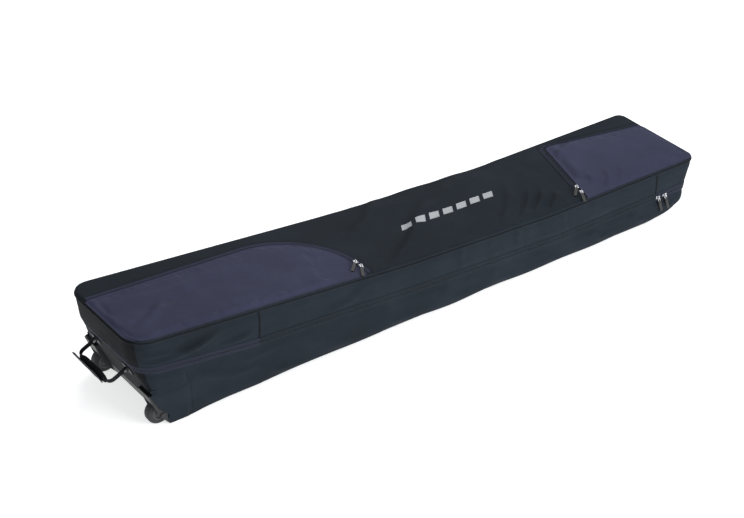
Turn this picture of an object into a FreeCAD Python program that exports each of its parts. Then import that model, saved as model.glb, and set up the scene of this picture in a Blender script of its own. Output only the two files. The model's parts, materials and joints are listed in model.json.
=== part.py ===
"""Wheeled snowboard bag: a fabric tub and a zipped lid that hinges along the back.

The bag lies on its flat bottom. +X runs along the bag from the wheel end to the far end,
-Y is the zipped front side, +Y is the hinge side and +Z is up. The origin is the centre of
the whole object's footprint, at floor level.
"""

import FreeCAD, Part
import math
import os

import Sketcher
from FreeCAD import Placement, Rotation, Vector

# Driving dimensions in millimetres. "run" is a distance along X from the wheel end's top edge.
SIZES = {
    # outer form
    "wheel_end_x": -928.5,
    "length": 1893,
    "width": 330,
    "wheel_end_height": 278,
    "far_end_height": 184,
    "knee_run": 835,
    "knee_height": 204.2,
    "low_run": 1330,
    "low_height": 181,
    "wheel_end_lean": 10,
    "wheel_end_bend_height": 198,
    "wheel_end_foot": 90,
    "wheel_end_toe": 100,
    "wheel_end_heel_height": 12,
    "far_bend_lean": 21,
    "far_bend_height": 110,
    "far_heel_lean": 37,
    "far_heel_height": 38,
    "far_rise_run": 1800,
    "far_rise_height": 10,
    "far_foot_run": 1725,
    "wheel_corner_radius": 55,
    "far_corner_radius": 28,
    "bottom_edge_radius": 18,
    "wall": 5,
    # parting of lid and tub
    "wheel_end_zip_height": 180,
    "knee_zip_height": 108,
    "low_zip_height": 86,
    "far_zip_height": 93,
    "parting_meet_run": 36,
    "lid_gap": 0.6,
    "overrun": 60,
    "cut_past": 1,
    # trims on the outer form
    "tape_thickness": 1.2,
    "tape_half_height": 11,
    "zip_corner_clear": 56,
    "hinge_tape_thickness": 0.8,
    "hinge_tape_height": 16,
    "hinge_tape_margin": 72,
    "piping_proud": 1.8,
    "piping_drop": 9,
    "piping_height": 4,
    # pockets on the lid, in the plane of the lid's top
    "pocket_edge": 10,
    "pocket_panel": 3,
    "pocket_depth": 15,
    "pocket_rim": 26,
    "tray_wall": 4,
    "zip_band": 20,
    "zip_line": 13,
    "zip_drop": 0.8,
    "coil_half_width": 1.5,
    "coil_height": 1,
    "flap_gap": 0.5,
    "flap_clear": 1.2,
    "flap_thickness": 1.5,
    "near_pocket_length": 730,
    "near_seam_start": 89,
    "near_seam_end": 133,
    "near_arc_radius": 229,
    "near_corner_radius": 45,
    "near_flap_start_run": 290,
    "near_flap_start_side": 107,
    "near_flap_end_run": 712,
    "near_flap_end_side": -64,
    "far_pocket_front_run": 128,
    "far_pocket_back_run": 215,
    "far_pocket_back_side": 152,
    "far_pocket_end_run": 553,
    "far_pocket_end_side": 84,
    "far_pocket_corner": 32,
    "far_end_corner": 18,
    "far_flap_start_run": 130,
    "far_flap_start_side": -72,
    "far_flap_end_run": 380,
    "far_flap_end_side": 152,
    # zip sliders and their pulls
    "main_slider_near_run": 1746,
    "main_slider_far_run": 1772,
    "main_pull_lean": -72,
    "near_slider_angle": 3.2,
    "near_slider_front_side": -123,
    "far_slider_side": -100,
    "far_slider_front_side": -130,
    "upper_pull_yaw": -135,
    "lower_pull_yaw": -120,
    "slider_length": 15,
    "slider_nose": 5,
    "slider_width": 9,
    "slider_height": 4,
    "slider_edge_radius": 0.8,
    "slider_clear": 0.3,
    "slider_groove_width": 4.6,
    "slider_groove_height": 1.3,
    "bail_length": 9,
    "bail_height": 5,
    "bail_sink": 0.5,
    "bail_thickness": 2,
    "bail_window_length": 5,
    "bail_window_height": 3,
    "pivot_height": 6.5,
    "ring_length": 15,
    "ring_width": 7.6,
    "ring_wire": 1.6,
    "grip_start": 11,
    "grip_end": 52,
    "grip_neck_width": 6.6,
    "grip_width": 9.4,
    "grip_thickness": 3.4,
    "pull_droop": 4.6,
    # wheels and their housings, placed from the wheel end's top edge and the bag's side
    "wheel_radius": 34,
    "wheel_run": 73,
    "wheel_side_gap": 15,
    "wheel_width": 24,
    "wheel_clear": 3.5,
    "hub_radius": 21,
    "hub_face_step": 2,
    "bush_radius": 7,
    "axle_radius": 4,
    "running_clearance": 0.05,
    "axle_head_radius": 7.5,
    "axle_head_height": 2.4,
    "housing_width": 55,
    "housing_end_run": 150,
    "housing_height": 105,
    "housing_lip_run": 36,
    "housing_cheek_run": 63,
    "housing_toe_run": 92,
    "housing_lift": 1,
    "housing_cheek": 5,
    "housing_skin": 4,
    "housing_fillet": 24,
    "housing_fit_gap": 0.3,
    "housing_core_run": 116,
    "housing_core_shelf": 77,
    "housing_core_step_run": 60,
    "housing_core_top_run": 52,
    "rivet_radius": 3.2,
    "rivet_height": 1.4,
    "rivet_inset": 12,
    # moulded guard plate under the wheel end
    "guard_thickness": 3,
    "guard_end_run": 215,
    "guard_height": 46,
    "guard_half_width": 108,
    # handle on the wheel end
    "handle_face_height": 150,
    "handle_half_span": 80,
    "handle_pivot_gap": 10,
    "handle_droop": 25,
    "handle_reach": 52,
    "strap_thickness": 3,
    "strap_half_width": 12,
    "strap_end_radius": 6,
    "strap_tip_radius": 5.4,
    "strap_corner_radius": 18,
    "eye_radius": 2.5,
    "anchor_plate": 3,
    "anchor_half_length": 22,
    "anchor_half_width": 13,
    "ear_gap": 0.4,
    "ear_thickness": 2.5,
    "ear_radius": 5.5,
    "rivet_head_radius": 4,
    "rivet_head_height": 1.2,
    "grip_half_length": 62,
    "grip_half_depth": 9,
    "grip_half_height": 16,
    "grip_edge_radius": 7,
    "cuff_thickness": 2.5,
    "cuff_tail": 20,
    "cuff_height": 34,
    "cuff_rise": 6,
    # inside the tub
    "board_thickness": 4,
    "board_clear": 3,
    "board_start_run": 156,
    "board_end_run": 1716,
    "foam_thickness": 8,
    "tie_width": 38,
    "tie_thickness": 2,
    "tie_clear": 0.6,
    "tie_near_run": 560,
    "tie_far_run": 1240,
    "tie_rise": 46,
    "buckle_length": 46,
    "buckle_width": 50,
    "buckle_thickness": 6,
    "buckle_bar": 5,
    "buckle_side": 40,
}

LONGEST_NAME = 60
# How close, in millimetres, a point is to count as being on a face or at a corner.
NEAR = 0.05
AT_CORNER = 0.5

doc = FreeCAD.newDocument("SnowboardBag")
sheet = doc.addObject("Spreadsheet::Sheet", "Sizes")
for row, (alias, value) in enumerate(SIZES.items(), start=1):
    sheet.set(f"A{row}", alias)
    sheet.set(f"B{row}", str(value))
    sheet.setAlias(f"B{row}", alias)
doc.recompute()
ruler = doc.addObject("App::FeaturePython", "Ruler")
nodes = []


# ---------------------------------------------------------------- helpers


def cell(name):
    """The expression that reads a cell of the sheet."""
    return f"Sizes.{name}"


def number(expression):
    """What an expression over the sheet comes to, as a plain number."""
    return float(ruler.evalExpression(str(expression)))


def along(run):
    """The X coordinate, as an expression, of a run from the wheel end."""
    return f"({cell('wheel_end_x')} + {run})"


def bind(thing, path, expression):
    """Makes a property follow an expression."""
    thing.setExpression(path, str(expression))


def side_lines(sketch, corners):
    """A closed polygon whose corners follow pairs of expressions."""
    spots = [(number(x), number(y)) for x, y in corners]
    first = sketch.GeometryCount
    count = len(spots)
    for i, spot in enumerate(spots):
        following = spots[(i + 1) % count]
        sketch.addGeometry(Part.LineSegment(Vector(*spot, 0), Vector(*following, 0)))
    for i in range(count):
        following = first + (i + 1) % count
        sketch.addConstraint(Sketcher.Constraint("Coincident", first + i, 2, following, 1))
    for i, (x, y) in enumerate(corners):
        for kind, expression, value in (("DistanceX", x, spots[i][0]), ("DistanceY", y, spots[i][1])):
            index = sketch.addConstraint(Sketcher.Constraint(kind, -1, 1, first + i, 1, value))
            bind(sketch, f"Constraints[{index}]", expression)


def circle(sketch, x, y, radius):
    """A circle whose centre and radius follow expressions."""
    centre = Vector(number(x), number(y), 0)
    index = sketch.addGeometry(Part.Circle(centre, Vector(0, 0, 1), number(radius)))
    for kind, expression, value in (("DistanceX", x, centre.x), ("DistanceY", y, centre.y)):
        spot = sketch.addConstraint(Sketcher.Constraint(kind, -1, 1, index, 3, value))
        bind(sketch, f"Constraints[{spot}]", expression)
    size = sketch.addConstraint(Sketcher.Constraint("Radius", index, number(radius)))
    bind(sketch, f"Constraints[{size}]", radius)


def drawn_on(body, name, role, level="0", turn=0):
    """An empty sketch on one of the body's own origin planes, moved along that plane's normal."""
    sketch = body.newObject("Sketcher::SketchObject", name)
    plane = next(f for f in body.Origin.OriginFeatures if f.Role == role)
    sketch.AttachmentSupport = (plane, [""])
    sketch.MapMode = "FlatFace"
    sketch.AttachmentOffset = Placement(Vector(), Rotation(Vector(0, 1, 0), turn))
    bind(sketch, "AttachmentOffset.Base.z", level)
    return sketch


def feature(body, kind, name, sketch, length):
    """A pad or a pocket of a sketch. A pocket is compared with what it cut from."""
    doc.recompute()
    before = body.Shape.Volume if kind == "Pocket" else 0
    made = body.newObject(f"PartDesign::{kind}", name)
    made.Profile = sketch
    bind(made, "Length", length)
    doc.recompute()
    if kind == "Pocket" and not body.Shape.Volume < before:
        raise ValueError(f"{body.Label}: {name} cuts nothing")
    return made


def rounded(body, name, radius, chosen):
    """A fillet on the edges of the body that chosen() picks."""
    doc.recompute()
    tip = body.Tip
    edges = [f"Edge{i}" for i, edge in enumerate(tip.Shape.Edges, start=1) if chosen(edge)]
    if not edges:
        raise ValueError(f"{body.Label}: {name} finds no edge")
    made = body.newObject("PartDesign::Fillet", name)
    made.Base = (tip, edges)
    bind(made, "Radius", radius)
    doc.recompute()
    return made


def new_body(label, placement=None):
    """A PartDesign body, in the bag's frame or in a placed frame of its own."""
    body = doc.addObject("PartDesign::Body", label)
    body.Label = label
    if placement is not None:
        body.Placement = placement
    return body


def across(body, name, corners, start, end, kind="Pad"):
    """A polygon in X and Z, padded or pocketed from Y = start to Y = end."""
    level = f"-({end})" if kind == "Pad" else f"-({start})"
    sketch = drawn_on(body, f"{name}_outline", "XZ_Plane", level)
    side_lines(sketch, corners)
    return feature(body, kind, name, sketch, f"({end}) - ({start})")


def upright(body, name, corners, start, end, kind="Pad"):
    """A polygon in X and Y, padded or pocketed from Z = start to Z = end."""
    level = start if kind == "Pad" else end
    sketch = drawn_on(body, f"{name}_outline", "XY_Plane", level)
    side_lines(sketch, corners)
    return feature(body, kind, name, sketch, f"({end}) - ({start})")


def endwise(body, name, corners, start, end, kind="Pad"):
    """A polygon in Y and Z, padded or pocketed from X = start to X = end."""
    level = start if kind == "Pad" else end
    sketch = drawn_on(body, f"{name}_outline", "YZ_Plane", level)
    side_lines(sketch, corners)
    return feature(body, kind, name, sketch, f"({end}) - ({start})")


def round_bar(body, name, x, z, radius, start, end, kind="Pad"):
    """A circle in X and Z, padded or pocketed from Y = start to Y = end."""
    level = f"-({end})" if kind == "Pad" else f"-({start})"
    sketch = drawn_on(body, f"{name}_circle", "XZ_Plane", level)
    circle(sketch, x, z, radius)
    return feature(body, kind, name, sketch, f"({end}) - ({start})")


def boolean(kind, label, base, tool):
    """A Part boolean of two objects: Cut, Common or Fuse."""
    made = doc.addObject(f"Part::{kind}", label)
    made.Label = label
    made.Base = base
    made.Tool = tool
    return made


def together(label, members):
    """Several separate solids in one object."""
    made = doc.addObject("Part::Compound", label)
    made.Label = label
    made.Links = members
    return made


def keep(thing):
    """Marks an object as a sub-part that is written out."""
    nodes.append(thing)
    return thing


def rectangle(x_low, x_high, y_low, y_high):
    """The corners of a rectangle, as expressions."""
    return [(x_low, y_low), (x_high, y_low), (x_high, y_high), (x_low, y_high)]


def edge_near(corner):
    """Picks upright edges that stand over one corner of an outline."""
    spot = Vector(number(corner[0]), number(corner[1]), 0)

    def chosen(edge):
        ends = [v.Point for v in edge.Vertexes]
        flat = [Vector(p.x, p.y, 0) for p in ends]
        return all((p - spot).Length < AT_CORNER for p in flat) and edge.Length > NEAR

    return chosen


# ---------------------------------------------------------------- outer form

HALF_WIDTH = f"{cell('width')} / 2"
# Runs of the profile, as pairs of its corners, whose upright edges are rounded.
WHEEL_END_RUNS = [(10, 0), (9, 10), (8, 9)]
FAR_END_RUNS = [(3, 4), (4, 5)]
# How far a mark at a blunt corner moves along an axis when its sides move inwards by one.
BLUNT, HALFWAY, OPEN = 0.3, 0.5, 0.6
# Angles in degrees of the facets that round the bottom edges.
BOTTOM_FACETS = (0, 30, 60, 90)


def sloped_run(height):
    """The run at which the sloping wheel end stands at a height."""
    foot = cell("wheel_end_foot")
    slope = f"({foot} - {cell('wheel_end_lean')}) / {cell('wheel_end_bend_height')}"
    return f"({foot} - {slope} * {height})"


def profile(inset):
    """The bag's side profile. A positive inset moves every side inwards."""
    far, heel = cell("length"), cell("wheel_end_heel_height")
    marks = [
        ("0", cell("wheel_end_height"), 1, -1),
        (cell("knee_run"), cell("knee_height"), 0, -1),
        (cell("low_run"), cell("low_height"), 0, -1),
        (far, cell("far_end_height"), -1, -1),
        (f"{far} - {cell('far_bend_lean')}", cell("far_bend_height"), -1, 0),
        (f"{far} - {cell('far_heel_lean')}", cell("far_heel_height"), -1, BLUNT),
        (cell("far_rise_run"), cell("far_rise_height"), -BLUNT, 1),
        (cell("far_foot_run"), "0", 0, 1),
        (cell("wheel_end_toe"), "0", HALFWAY, 1),
        (sloped_run(heel), heel, 1, OPEN),
        (cell("wheel_end_lean"), cell("wheel_end_bend_height"), 1, 0),
    ]
    return [(along(f"{run} + {i} * ({inset})"), f"{z} + {j} * ({inset})") for run, z, i, j in marks]


def form(label, inset):
    """The closed form of the whole bag, with every side moved inwards by the inset."""
    body = new_body(label)
    corners = profile(inset)
    half = f"({HALF_WIDTH} - ({inset}))"
    across(body, f"{label}_block", corners, f"-{half}", half)
    side = number(half)
    spots = [Vector(number(x), 0, number(z)) for x, z in corners]

    def on_sides_between(runs):
        """Picks the edges on both side faces that run between pairs of the profile's corners."""
        middles = [(spots[first] + spots[second]) / 2 for first, second in runs]

        def chosen(edge):
            middle = edge.CenterOfMass
            flat = Vector(middle.x, 0, middle.z)
            beside = abs(abs(middle.y) - side) < NEAR
            return beside and any((flat - spot).Length < NEAR for spot in middles)

        return chosen

    wheel_radius = f"{cell('wheel_corner_radius')} - ({inset})"
    rounded(body, f"{label}_wheel_corners", wheel_radius, on_sides_between(WHEEL_END_RUNS))
    far_radius = f"{cell('far_corner_radius')} - ({inset})"
    rounded(body, f"{label}_far_corners", far_radius, on_sides_between(FAR_END_RUNS))

    radius = f"({cell('bottom_edge_radius')} - ({inset}))"
    centre, level = f"({half} - {radius})", f"({inset} + {radius})"
    over = cell("overrun")
    low, high = along(f"-{over}"), along(f"{cell('length')} + {over}")
    for name, sign in (("front", -1), ("back", 1)):
        facets = [
            (
                f"{sign} * ({centre} + {radius} * cos({angle} deg))",
                f"{level} - {radius} * sin({angle} deg)",
            )
            for angle in BOTTOM_FACETS
        ]
        beyond_side = f"{sign} * ({half} + {over})"
        outside = [(facets[-1][0], f"-{over}"), (beyond_side, f"-{over}"), (beyond_side, level)]
        endwise(body, f"{label}_{name}_bottom_edge", facets + outside, low, high, "Pocket")
    return body


outer = form("outer_form", "0")
inner = form("inner_form", cell("wall"))
tape_form = form("tape_form", f"-{cell('tape_thickness')}")
piping_form = form("piping_form", f"-{cell('piping_proud')}")


# ---------------------------------------------------------------- parting of lid and tub


STRAIGHT_FALL = f"(({cell('far_zip_height')} - {cell('wheel_end_zip_height')}) / {cell('length')})"


def parting_marks(back):
    """The parting line as runs and heights: straight along the back, sagging along the front."""
    start, end, length = cell("wheel_end_zip_height"), cell("far_zip_height"), cell("length")
    if back:
        return [("0", start), (length, end)]
    meet = cell("parting_meet_run")
    return [
        ("0", start),
        (meet, f"{start} + {STRAIGHT_FALL} * {meet}"),
        (cell("knee_run"), cell("knee_zip_height")),
        (cell("low_run"), cell("low_zip_height")),
        (f"({length} - {meet})", f"{end} - {STRAIGHT_FALL} * {meet}"),
        (length, end),
    ]


def below_parting(label, rise):
    """Everything below the parting, whose front and back halves agree in the end walls."""
    body = new_body(label)
    over = cell("overrun")
    low, high = along(f"-{over}"), along(f"{cell('length')} + {over}")
    for name, back in (("front", False), ("back", True)):
        marks = parting_marks(back)
        line = [(low, marks[0][1]), *((along(run), z) for run, z in marks), (high, marks[-1][1])]
        corners = [(x, f"{z} + {rise}") for x, z in line] + [(high, f"-{over}"), (low, f"-{over}")]
        reach = f"({HALF_WIDTH} + {over})"
        sides = ("0", reach) if back else (f"-{reach}", "0")
        across(body, f"{label}_{name}", corners, *sides)
    return body


below_tub = below_parting("below_tub", "0")
below_lid = below_parting("below_lid", cell("lid_gap"))
below_zip_band = below_parting("below_zip_band", f"-{cell('tape_half_height')}")
above_zip_band = below_parting("above_zip_band", f"{cell('tape_half_height')} + {cell('lid_gap')}")


def slope_of(rise, run):
    """The angle in degrees of a rise over a run."""
    return math.degrees(math.atan2(rise, run))


def top_plane(start, start_height, end, end_height):
    """The plane of the lid's top from one run to another: X along the slope, Z out of the bag."""
    fall = slope_of(number(f"{start_height} - {end_height}"), number(f"{end} - {start}"))
    spot = Vector(number(along(start)), 0, number(start_height))
    return Placement(spot, Rotation(Vector(0, 1, 0), fall))


near_top = top_plane("0", cell("wheel_end_height"), cell("knee_run"), cell("knee_height"))
far_top = top_plane(cell("low_run"), cell("low_height"), cell("length"), cell("far_end_height"))


# ---------------------------------------------------------------- pockets


def near_outline(edge, band):
    """The wheel-end pocket: sewn along the front and the wheel end, zipped along the rest."""
    front = f"-{HALF_WIDTH} + {cell('pocket_edge')} + {edge}"
    start = f"{cell('pocket_edge')} + {edge}"
    end = f"{cell('near_pocket_length')} - ({band})"
    return [
        (start, front),
        (end, front),
        (end, f"{cell('near_seam_end')} - ({band})"),
        (start, f"{cell('near_seam_start')} - ({band})"),
    ]


def far_outline(edge, band):
    """The far-end pocket: zipped along its slanted inner side and its back seam."""
    front = f"-{HALF_WIDTH} + {cell('pocket_edge')} + {edge}"
    end = f"{cell('far_pocket_end_run')} - {edge}"
    return [
        (f"{cell('far_pocket_front_run')} + ({band})", front),
        (end, front),
        (end, f"{cell('far_pocket_end_side')} - ({band})"),
        (f"{cell('far_pocket_back_run')} + ({band})", f"{cell('far_pocket_back_side')} - ({band})"),
    ]


def pocket_plate(label, place, outline, edge, band, bottom, top):
    """A plate of the pocket's outline, between two levels below the lid's top plane."""
    body = new_body(label, place)
    corners = outline(edge, band)
    upright(body, f"{label}_plate", corners, bottom, top)
    if outline is near_outline:
        turns = [
            (2, f"{cell('near_arc_radius')} - ({band})"),
            (0, f"{cell('near_corner_radius')} - ({edge})"),
        ]
    else:
        turns = [
            (3, f"{cell('far_pocket_corner')} - ({band}) / 2"),
            (1, cell("far_end_corner")),
            (2, cell("far_end_corner")),
        ]
    for index, radius in turns:
        rounded(body, f"{label}_turn{index}", radius, edge_near(corners[index]))
    return body


def beyond(start, end, side, gap):
    """Corners of a half plane on one side of the line from start to end, moved away by a gap."""
    a = Vector(number(cell(f"{start}_run")), number(cell(f"{start}_side")), 0)
    b = Vector(number(cell(f"{end}_run")), number(cell(f"{end}_side")), 0)
    line = (b - a).normalize()
    out = Vector(-line.y, line.x, 0) * side
    reach = 2 * number(cell("width"))
    inner = out * number(gap)
    spots = [
        a - line * reach + inner,
        b + line * reach + inner,
        b + line * reach + out * reach,
        a - line * reach + out * reach,
    ]
    return [(str(p.x), str(p.y)) for p in spots]


def trimmed(body, name, corners):
    """Cuts a polygon right through a pocket plate."""
    reach = cell("pocket_depth")
    upright(body, name, corners, f"-2 * {reach}", reach, "Pocket")


def pocket(name, place, outline):
    """One pocket: the tray and its hollow in the lid, the panel, its moving flap and the zip."""
    panel, depth, tray_wall = cell("pocket_panel"), cell("pocket_depth"), cell("tray_wall")
    rim, outside = cell("pocket_rim"), f"-{cell('cut_past')}"

    def plate(suffix, edge, band, bottom, top):
        """One of the pocket's plates."""
        return pocket_plate(f"{name}_{suffix}", place, outline, edge, band, bottom, top)

    grown = f"-{tray_wall}"
    tray = plate("tray", grown, grown, f"-{depth} - {tray_wall}", rim)
    seat = plate("seat", "0", "0", f"-{panel}", rim)
    hollow = plate("hollow", tray_wall, rim, f"-{depth}", rim)

    band = cell("zip_band")
    start, end = f"{name}_flap_start", f"{name}_flap_end"
    gap = f"-{cell('flap_gap')} / 2"
    fixed = plate("pocket_panel", "0", f"{band} + {cell('flap_gap')}", f"-{panel}", "0")
    trimmed(fixed, f"{name}_flap_side", beyond(start, end, 1, gap))
    flap_band = f"{band} + {cell('flap_clear')}"
    flap = plate("pocket_flap", cell("flap_gap"), flap_band, f"-{cell('flap_thickness')}", "0")
    trimmed(flap, f"{name}_panel_side", beyond(start, end, -1, gap))

    tape_top, tape_foot = f"-{cell('zip_drop')}", f"-2 * {panel}"
    tape_plate = plate("tape_plate", "0", "0", f"-{panel}", tape_top)
    tape_core = plate("tape_core", outside, band, tape_foot, rim)
    tape = boolean("Cut", f"{name}_zip_tape", tape_plate, tape_core)
    line, coil_half = cell("zip_line"), cell("coil_half_width")
    coil_top = f"{tape_top} + {cell('coil_height')}"
    coil_plate = plate("coil_plate", "0", f"{line} - {coil_half}", tape_top, coil_top)
    coil_core = plate("coil_core", outside, f"{line} + {coil_half}", tape_foot, rim)
    coil = boolean("Cut", f"{name}_zip_coil", coil_plate, coil_core)
    for part in (fixed, flap, tape, coil):
        keep(part)
    return tray, seat, hollow


near_tray, near_seat, near_hollow = pocket("near", near_top, near_outline)
far_tray, far_seat, far_hollow = pocket("far", far_top, far_outline)


# ---------------------------------------------------------------- wheels and housings

AXLE_X = along(cell("wheel_run"))
AXLE_Z = cell("wheel_radius")
SIDES = {"front": -1, "back": 1}


def span(side, start, end):
    """Two Y expressions, in order, for distances inwards from the bag's front or back side."""
    limits = [f"{side} * ({HALF_WIDTH} - ({start}))", f"{side} * ({HALF_WIDTH} - ({end}))"]
    return sorted(limits, key=number)


def housing_corners(gap):
    """The housing's side outline: a lip ahead of the sloping end, a toe under the wheel."""
    return [
        (along(f"{cell('housing_lip_run')} - {gap}"), f"{cell('housing_height')} + {gap}"),
        (along(f"{cell('housing_cheek_run')} - {gap}"), AXLE_Z),
        (along(f"{cell('housing_toe_run')} - {gap}"), f"{cell('housing_lift')} - {gap}"),
        (along(f"{cell('housing_end_run')} + {gap}"), f"{cell('housing_lift')} - {gap}"),
        (along(f"{cell('housing_end_run')} + {gap}"), f"{cell('housing_height')} + {gap}"),
    ]


def housing_block(name, side):
    """The corner of the tub that a housing fills, with the fabric's clearance."""
    gap = cell("housing_fit_gap")
    body = new_body(f"{name}_block")
    wide = span(side, f"-{cell('overrun')}", f"{cell('housing_width')} + {gap}")
    corners = rectangle(
        along(f"-{cell('overrun')}"),
        along(f"{cell('housing_end_run')} + {gap}"),
        f"-{cell('overrun')}",
        f"{cell('housing_height')} + {gap}",
    )
    across(body, f"{name}_block_pad", corners, *wide)
    return body


def bore_through(body, name, side, radius):
    """A hole on the wheel's axis, from well outside the bag's side to well inside it."""
    limits = span(side, f"-{cell('overrun')}", cell("overrun"))
    round_bar(body, name, AXLE_X, AXLE_Z, radius, *limits, "Pocket")


def wheel_housing(name, side):
    """A moulded corner with two cheeks that carry the axle and a well that the wheel turns in."""
    body = new_body(name)
    wide = cell("housing_width")
    cheek, skin = cell("housing_cheek"), cell("housing_skin")
    corners = housing_corners("0")
    across(body, f"{name}_block_pad", corners, *span(side, "0", wide))
    toe = Vector(number(corners[1][0]), 0, number(corners[1][1]))
    rounded(
        body,
        f"{name}_lip",
        cell("housing_fillet"),
        lambda edge: (Vector(edge.CenterOfMass.x, 0, edge.CenterOfMass.z) - toe).Length < AT_CORNER,
    )
    well = f"{cell('wheel_radius')} + {cell('wheel_clear')}"
    inside = span(side, cheek, f"{wide} - {cheek}")
    sketch_well = drawn_on(body, f"{name}_well_circle", "XZ_Plane", f"-({inside[0]})")
    circle(sketch_well, AXLE_X, AXLE_Z, well)
    feature(body, "Pocket", f"{name}_well", sketch_well, f"({inside[1]}) - ({inside[0]})")
    over = cell("overrun")
    ahead = rectangle(along(f"-{over}"), AXLE_X, f"-{over}", f"{AXLE_Z} + {well}")
    across(body, f"{name}_well_mouth", ahead, *inside, "Pocket")
    under = rectangle(AXLE_X, f"{AXLE_X} + {well}", f"-{over}", AXLE_Z)
    across(body, f"{name}_well_floor", under, *inside, "Pocket")
    end = along(f"{cell('housing_end_run')} + {cell('cut_past')}")
    top = f"{cell('housing_height')} - {skin}"
    shelf = cell("housing_core_shelf")
    core = [
        (along(cell("housing_core_run")), skin),
        (end, skin),
        (end, top),
        (along(cell("housing_core_top_run")), top),
        (along(cell("housing_core_step_run")), shelf),
        (along(cell("housing_core_run")), shelf),
    ]
    across(body, f"{name}_core", core, *inside, "Pocket")
    bore_through(body, f"{name}_bore", side, cell("axle_radius"))
    return keep(body)


def wheel(name, side):
    """A tyre on a hub with a plain bush, which turns on the axle."""
    gap = cell("wheel_side_gap")
    width = cell("wheel_width")
    tyre = new_body(f"{name}_tyre")
    faces = span(side, gap, f"{gap} + {width}")
    round_bar(tyre, f"{name}_tread", AXLE_X, AXLE_Z, cell("wheel_radius"), *faces)
    rounded(tyre, f"{name}_shoulders", f"{width} / 4", lambda edge: edge.Closed)
    hub_radius = cell("hub_radius")
    bore_through(tyre, f"{name}_seat", side, hub_radius)
    hub = new_body(f"{name}_hub")
    round_bar(hub, f"{name}_disc", AXLE_X, AXLE_Z, hub_radius, *faces)
    step = cell("hub_face_step")
    far = f"{gap} + {width}"
    for index, limits in enumerate([(gap, f"{gap} + {step}"), (f"{far} - {step}", far)]):
        face = span(side, *limits)
        sketch = drawn_on(hub, f"{name}_dish{index}_rings", "XZ_Plane", f"-({face[0]})")
        circle(sketch, AXLE_X, AXLE_Z, f"{hub_radius} - 2 * {step}")
        circle(sketch, AXLE_X, AXLE_Z, f"{cell('bush_radius')} + 1.5 * {step}")
        feature(hub, "Pocket", f"{name}_dish{index}", sketch, step)
    bore_through(hub, f"{name}_hub_bore", side, cell("bush_radius"))
    bush = new_body(f"{name}_bush")
    longer = span(side, f"{gap} - {step}", f"{gap} + {width} + {step}")
    round_bar(bush, f"{name}_sleeve", AXLE_X, AXLE_Z, cell("bush_radius"), *longer)
    bore = f"{cell('axle_radius')} + {cell('running_clearance')}"
    bore_through(bush, f"{name}_bush_bore", side, bore)
    for part in (tyre, hub, bush):
        keep(part)


def axle(name, side):
    """An axle pin pressed into both cheeks, with a low head outside the outer one."""
    body = new_body(name)
    shank = span(side, "0", cell("housing_width"))
    head = span(side, f"-{cell('axle_head_height')}", "0")
    round_bar(body, f"{name}_shank", AXLE_X, AXLE_Z, cell("axle_radius"), *shank)
    round_bar(body, f"{name}_head", AXLE_X, AXLE_Z, cell("axle_head_radius"), *head)
    return keep(body)


def housing_rivets():
    """Rivet heads along the top of each housing's outer cheek."""
    heads = []
    inset = cell("rivet_inset")
    spots = [
        (f"{cell('housing_lip_run')} + 2 * {inset}", f"{cell('housing_height')} - {inset}"),
        (f"{cell('housing_end_run')} - {inset}", f"{cell('housing_height')} - {inset}"),
        (f"{cell('housing_end_run')} - {inset}", inset),
    ]
    for side_name, side in SIDES.items():
        for index, (run, height) in enumerate(spots):
            name = f"rivet_{side_name}_{index}"
            head = new_body(name)
            limits = span(side, f"-{cell('rivet_height')}", "0")
            round_bar(head, f"{name}_head", along(run), height, cell("rivet_radius"), *limits)
            heads.append(head)
    return keep(together("housing_rivets", heads))


blocks = {}
for side_name, side in SIDES.items():
    blocks[side_name] = housing_block(f"{side_name}_corner", side)
    wheel_housing(f"wheel_housing_{side_name}", side)
    wheel(f"wheel_{side_name}", side)
    axle(f"axle_{side_name}", side)
housing_rivets()


# ---------------------------------------------------------------- shells

base_guard = keep(new_body("base_guard"))
skin, toe, heel = cell("guard_thickness"), cell("wheel_end_toe"), cell("wheel_end_heel_height")
guard_line = [
    (sloped_run(cell("guard_height")), cell("guard_height")),
    (sloped_run(heel), heel),
    (toe, "0"),
    (cell("guard_end_run"), "0"),
    (cell("guard_end_run"), skin),
    (f"{toe} + {skin} / 2", skin),
    (f"{sloped_run(heel)} + {skin}", f"{heel} + {skin} / 2"),
    (f"{sloped_run(cell('guard_height'))} + {skin}", cell("guard_height")),
]
across(
    base_guard,
    "guard_plate",
    [(along(run), z) for run, z in guard_line],
    f"-{cell('guard_half_width')}",
    cell("guard_half_width"),
)

trays = boolean("Fuse", "trays", near_tray, far_tray)
room = boolean("Cut", "room", inner, trays)
corner_walls = {}
for side_name, side in SIDES.items():
    walls = new_body(f"{side_name}_corner_walls")
    grown = f"{cell('housing_fit_gap')} + {cell('wall')}"
    across(
        walls,
        f"{side_name}_corner_walls_pad",
        rectangle(
            along(f"-{cell('overrun')}"),
            along(f"{cell('housing_end_run')} + {grown}"),
            f"-{cell('overrun')}",
            f"{cell('housing_height')} + {grown}",
        ),
        *span(side, f"-{cell('overrun')}", f"{cell('housing_width')} + {grown}"),
    )
    corner_walls[side_name] = walls
both_walls = boolean("Fuse", "both_corner_walls", corner_walls["front"], corner_walls["back"])
open_room = boolean("Cut", "open_room", room, both_walls)
shell = boolean("Cut", "shell", outer, open_room)

tub_whole = boolean("Common", "tub_whole", shell, below_tub)
both_blocks = boolean("Fuse", "both_blocks", blocks["front"], blocks["back"])
tub_cornered = boolean("Cut", "tub_cornered", tub_whole, both_blocks)
tub_shell = keep(boolean("Cut", "tub_shell", tub_cornered, base_guard))


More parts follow.
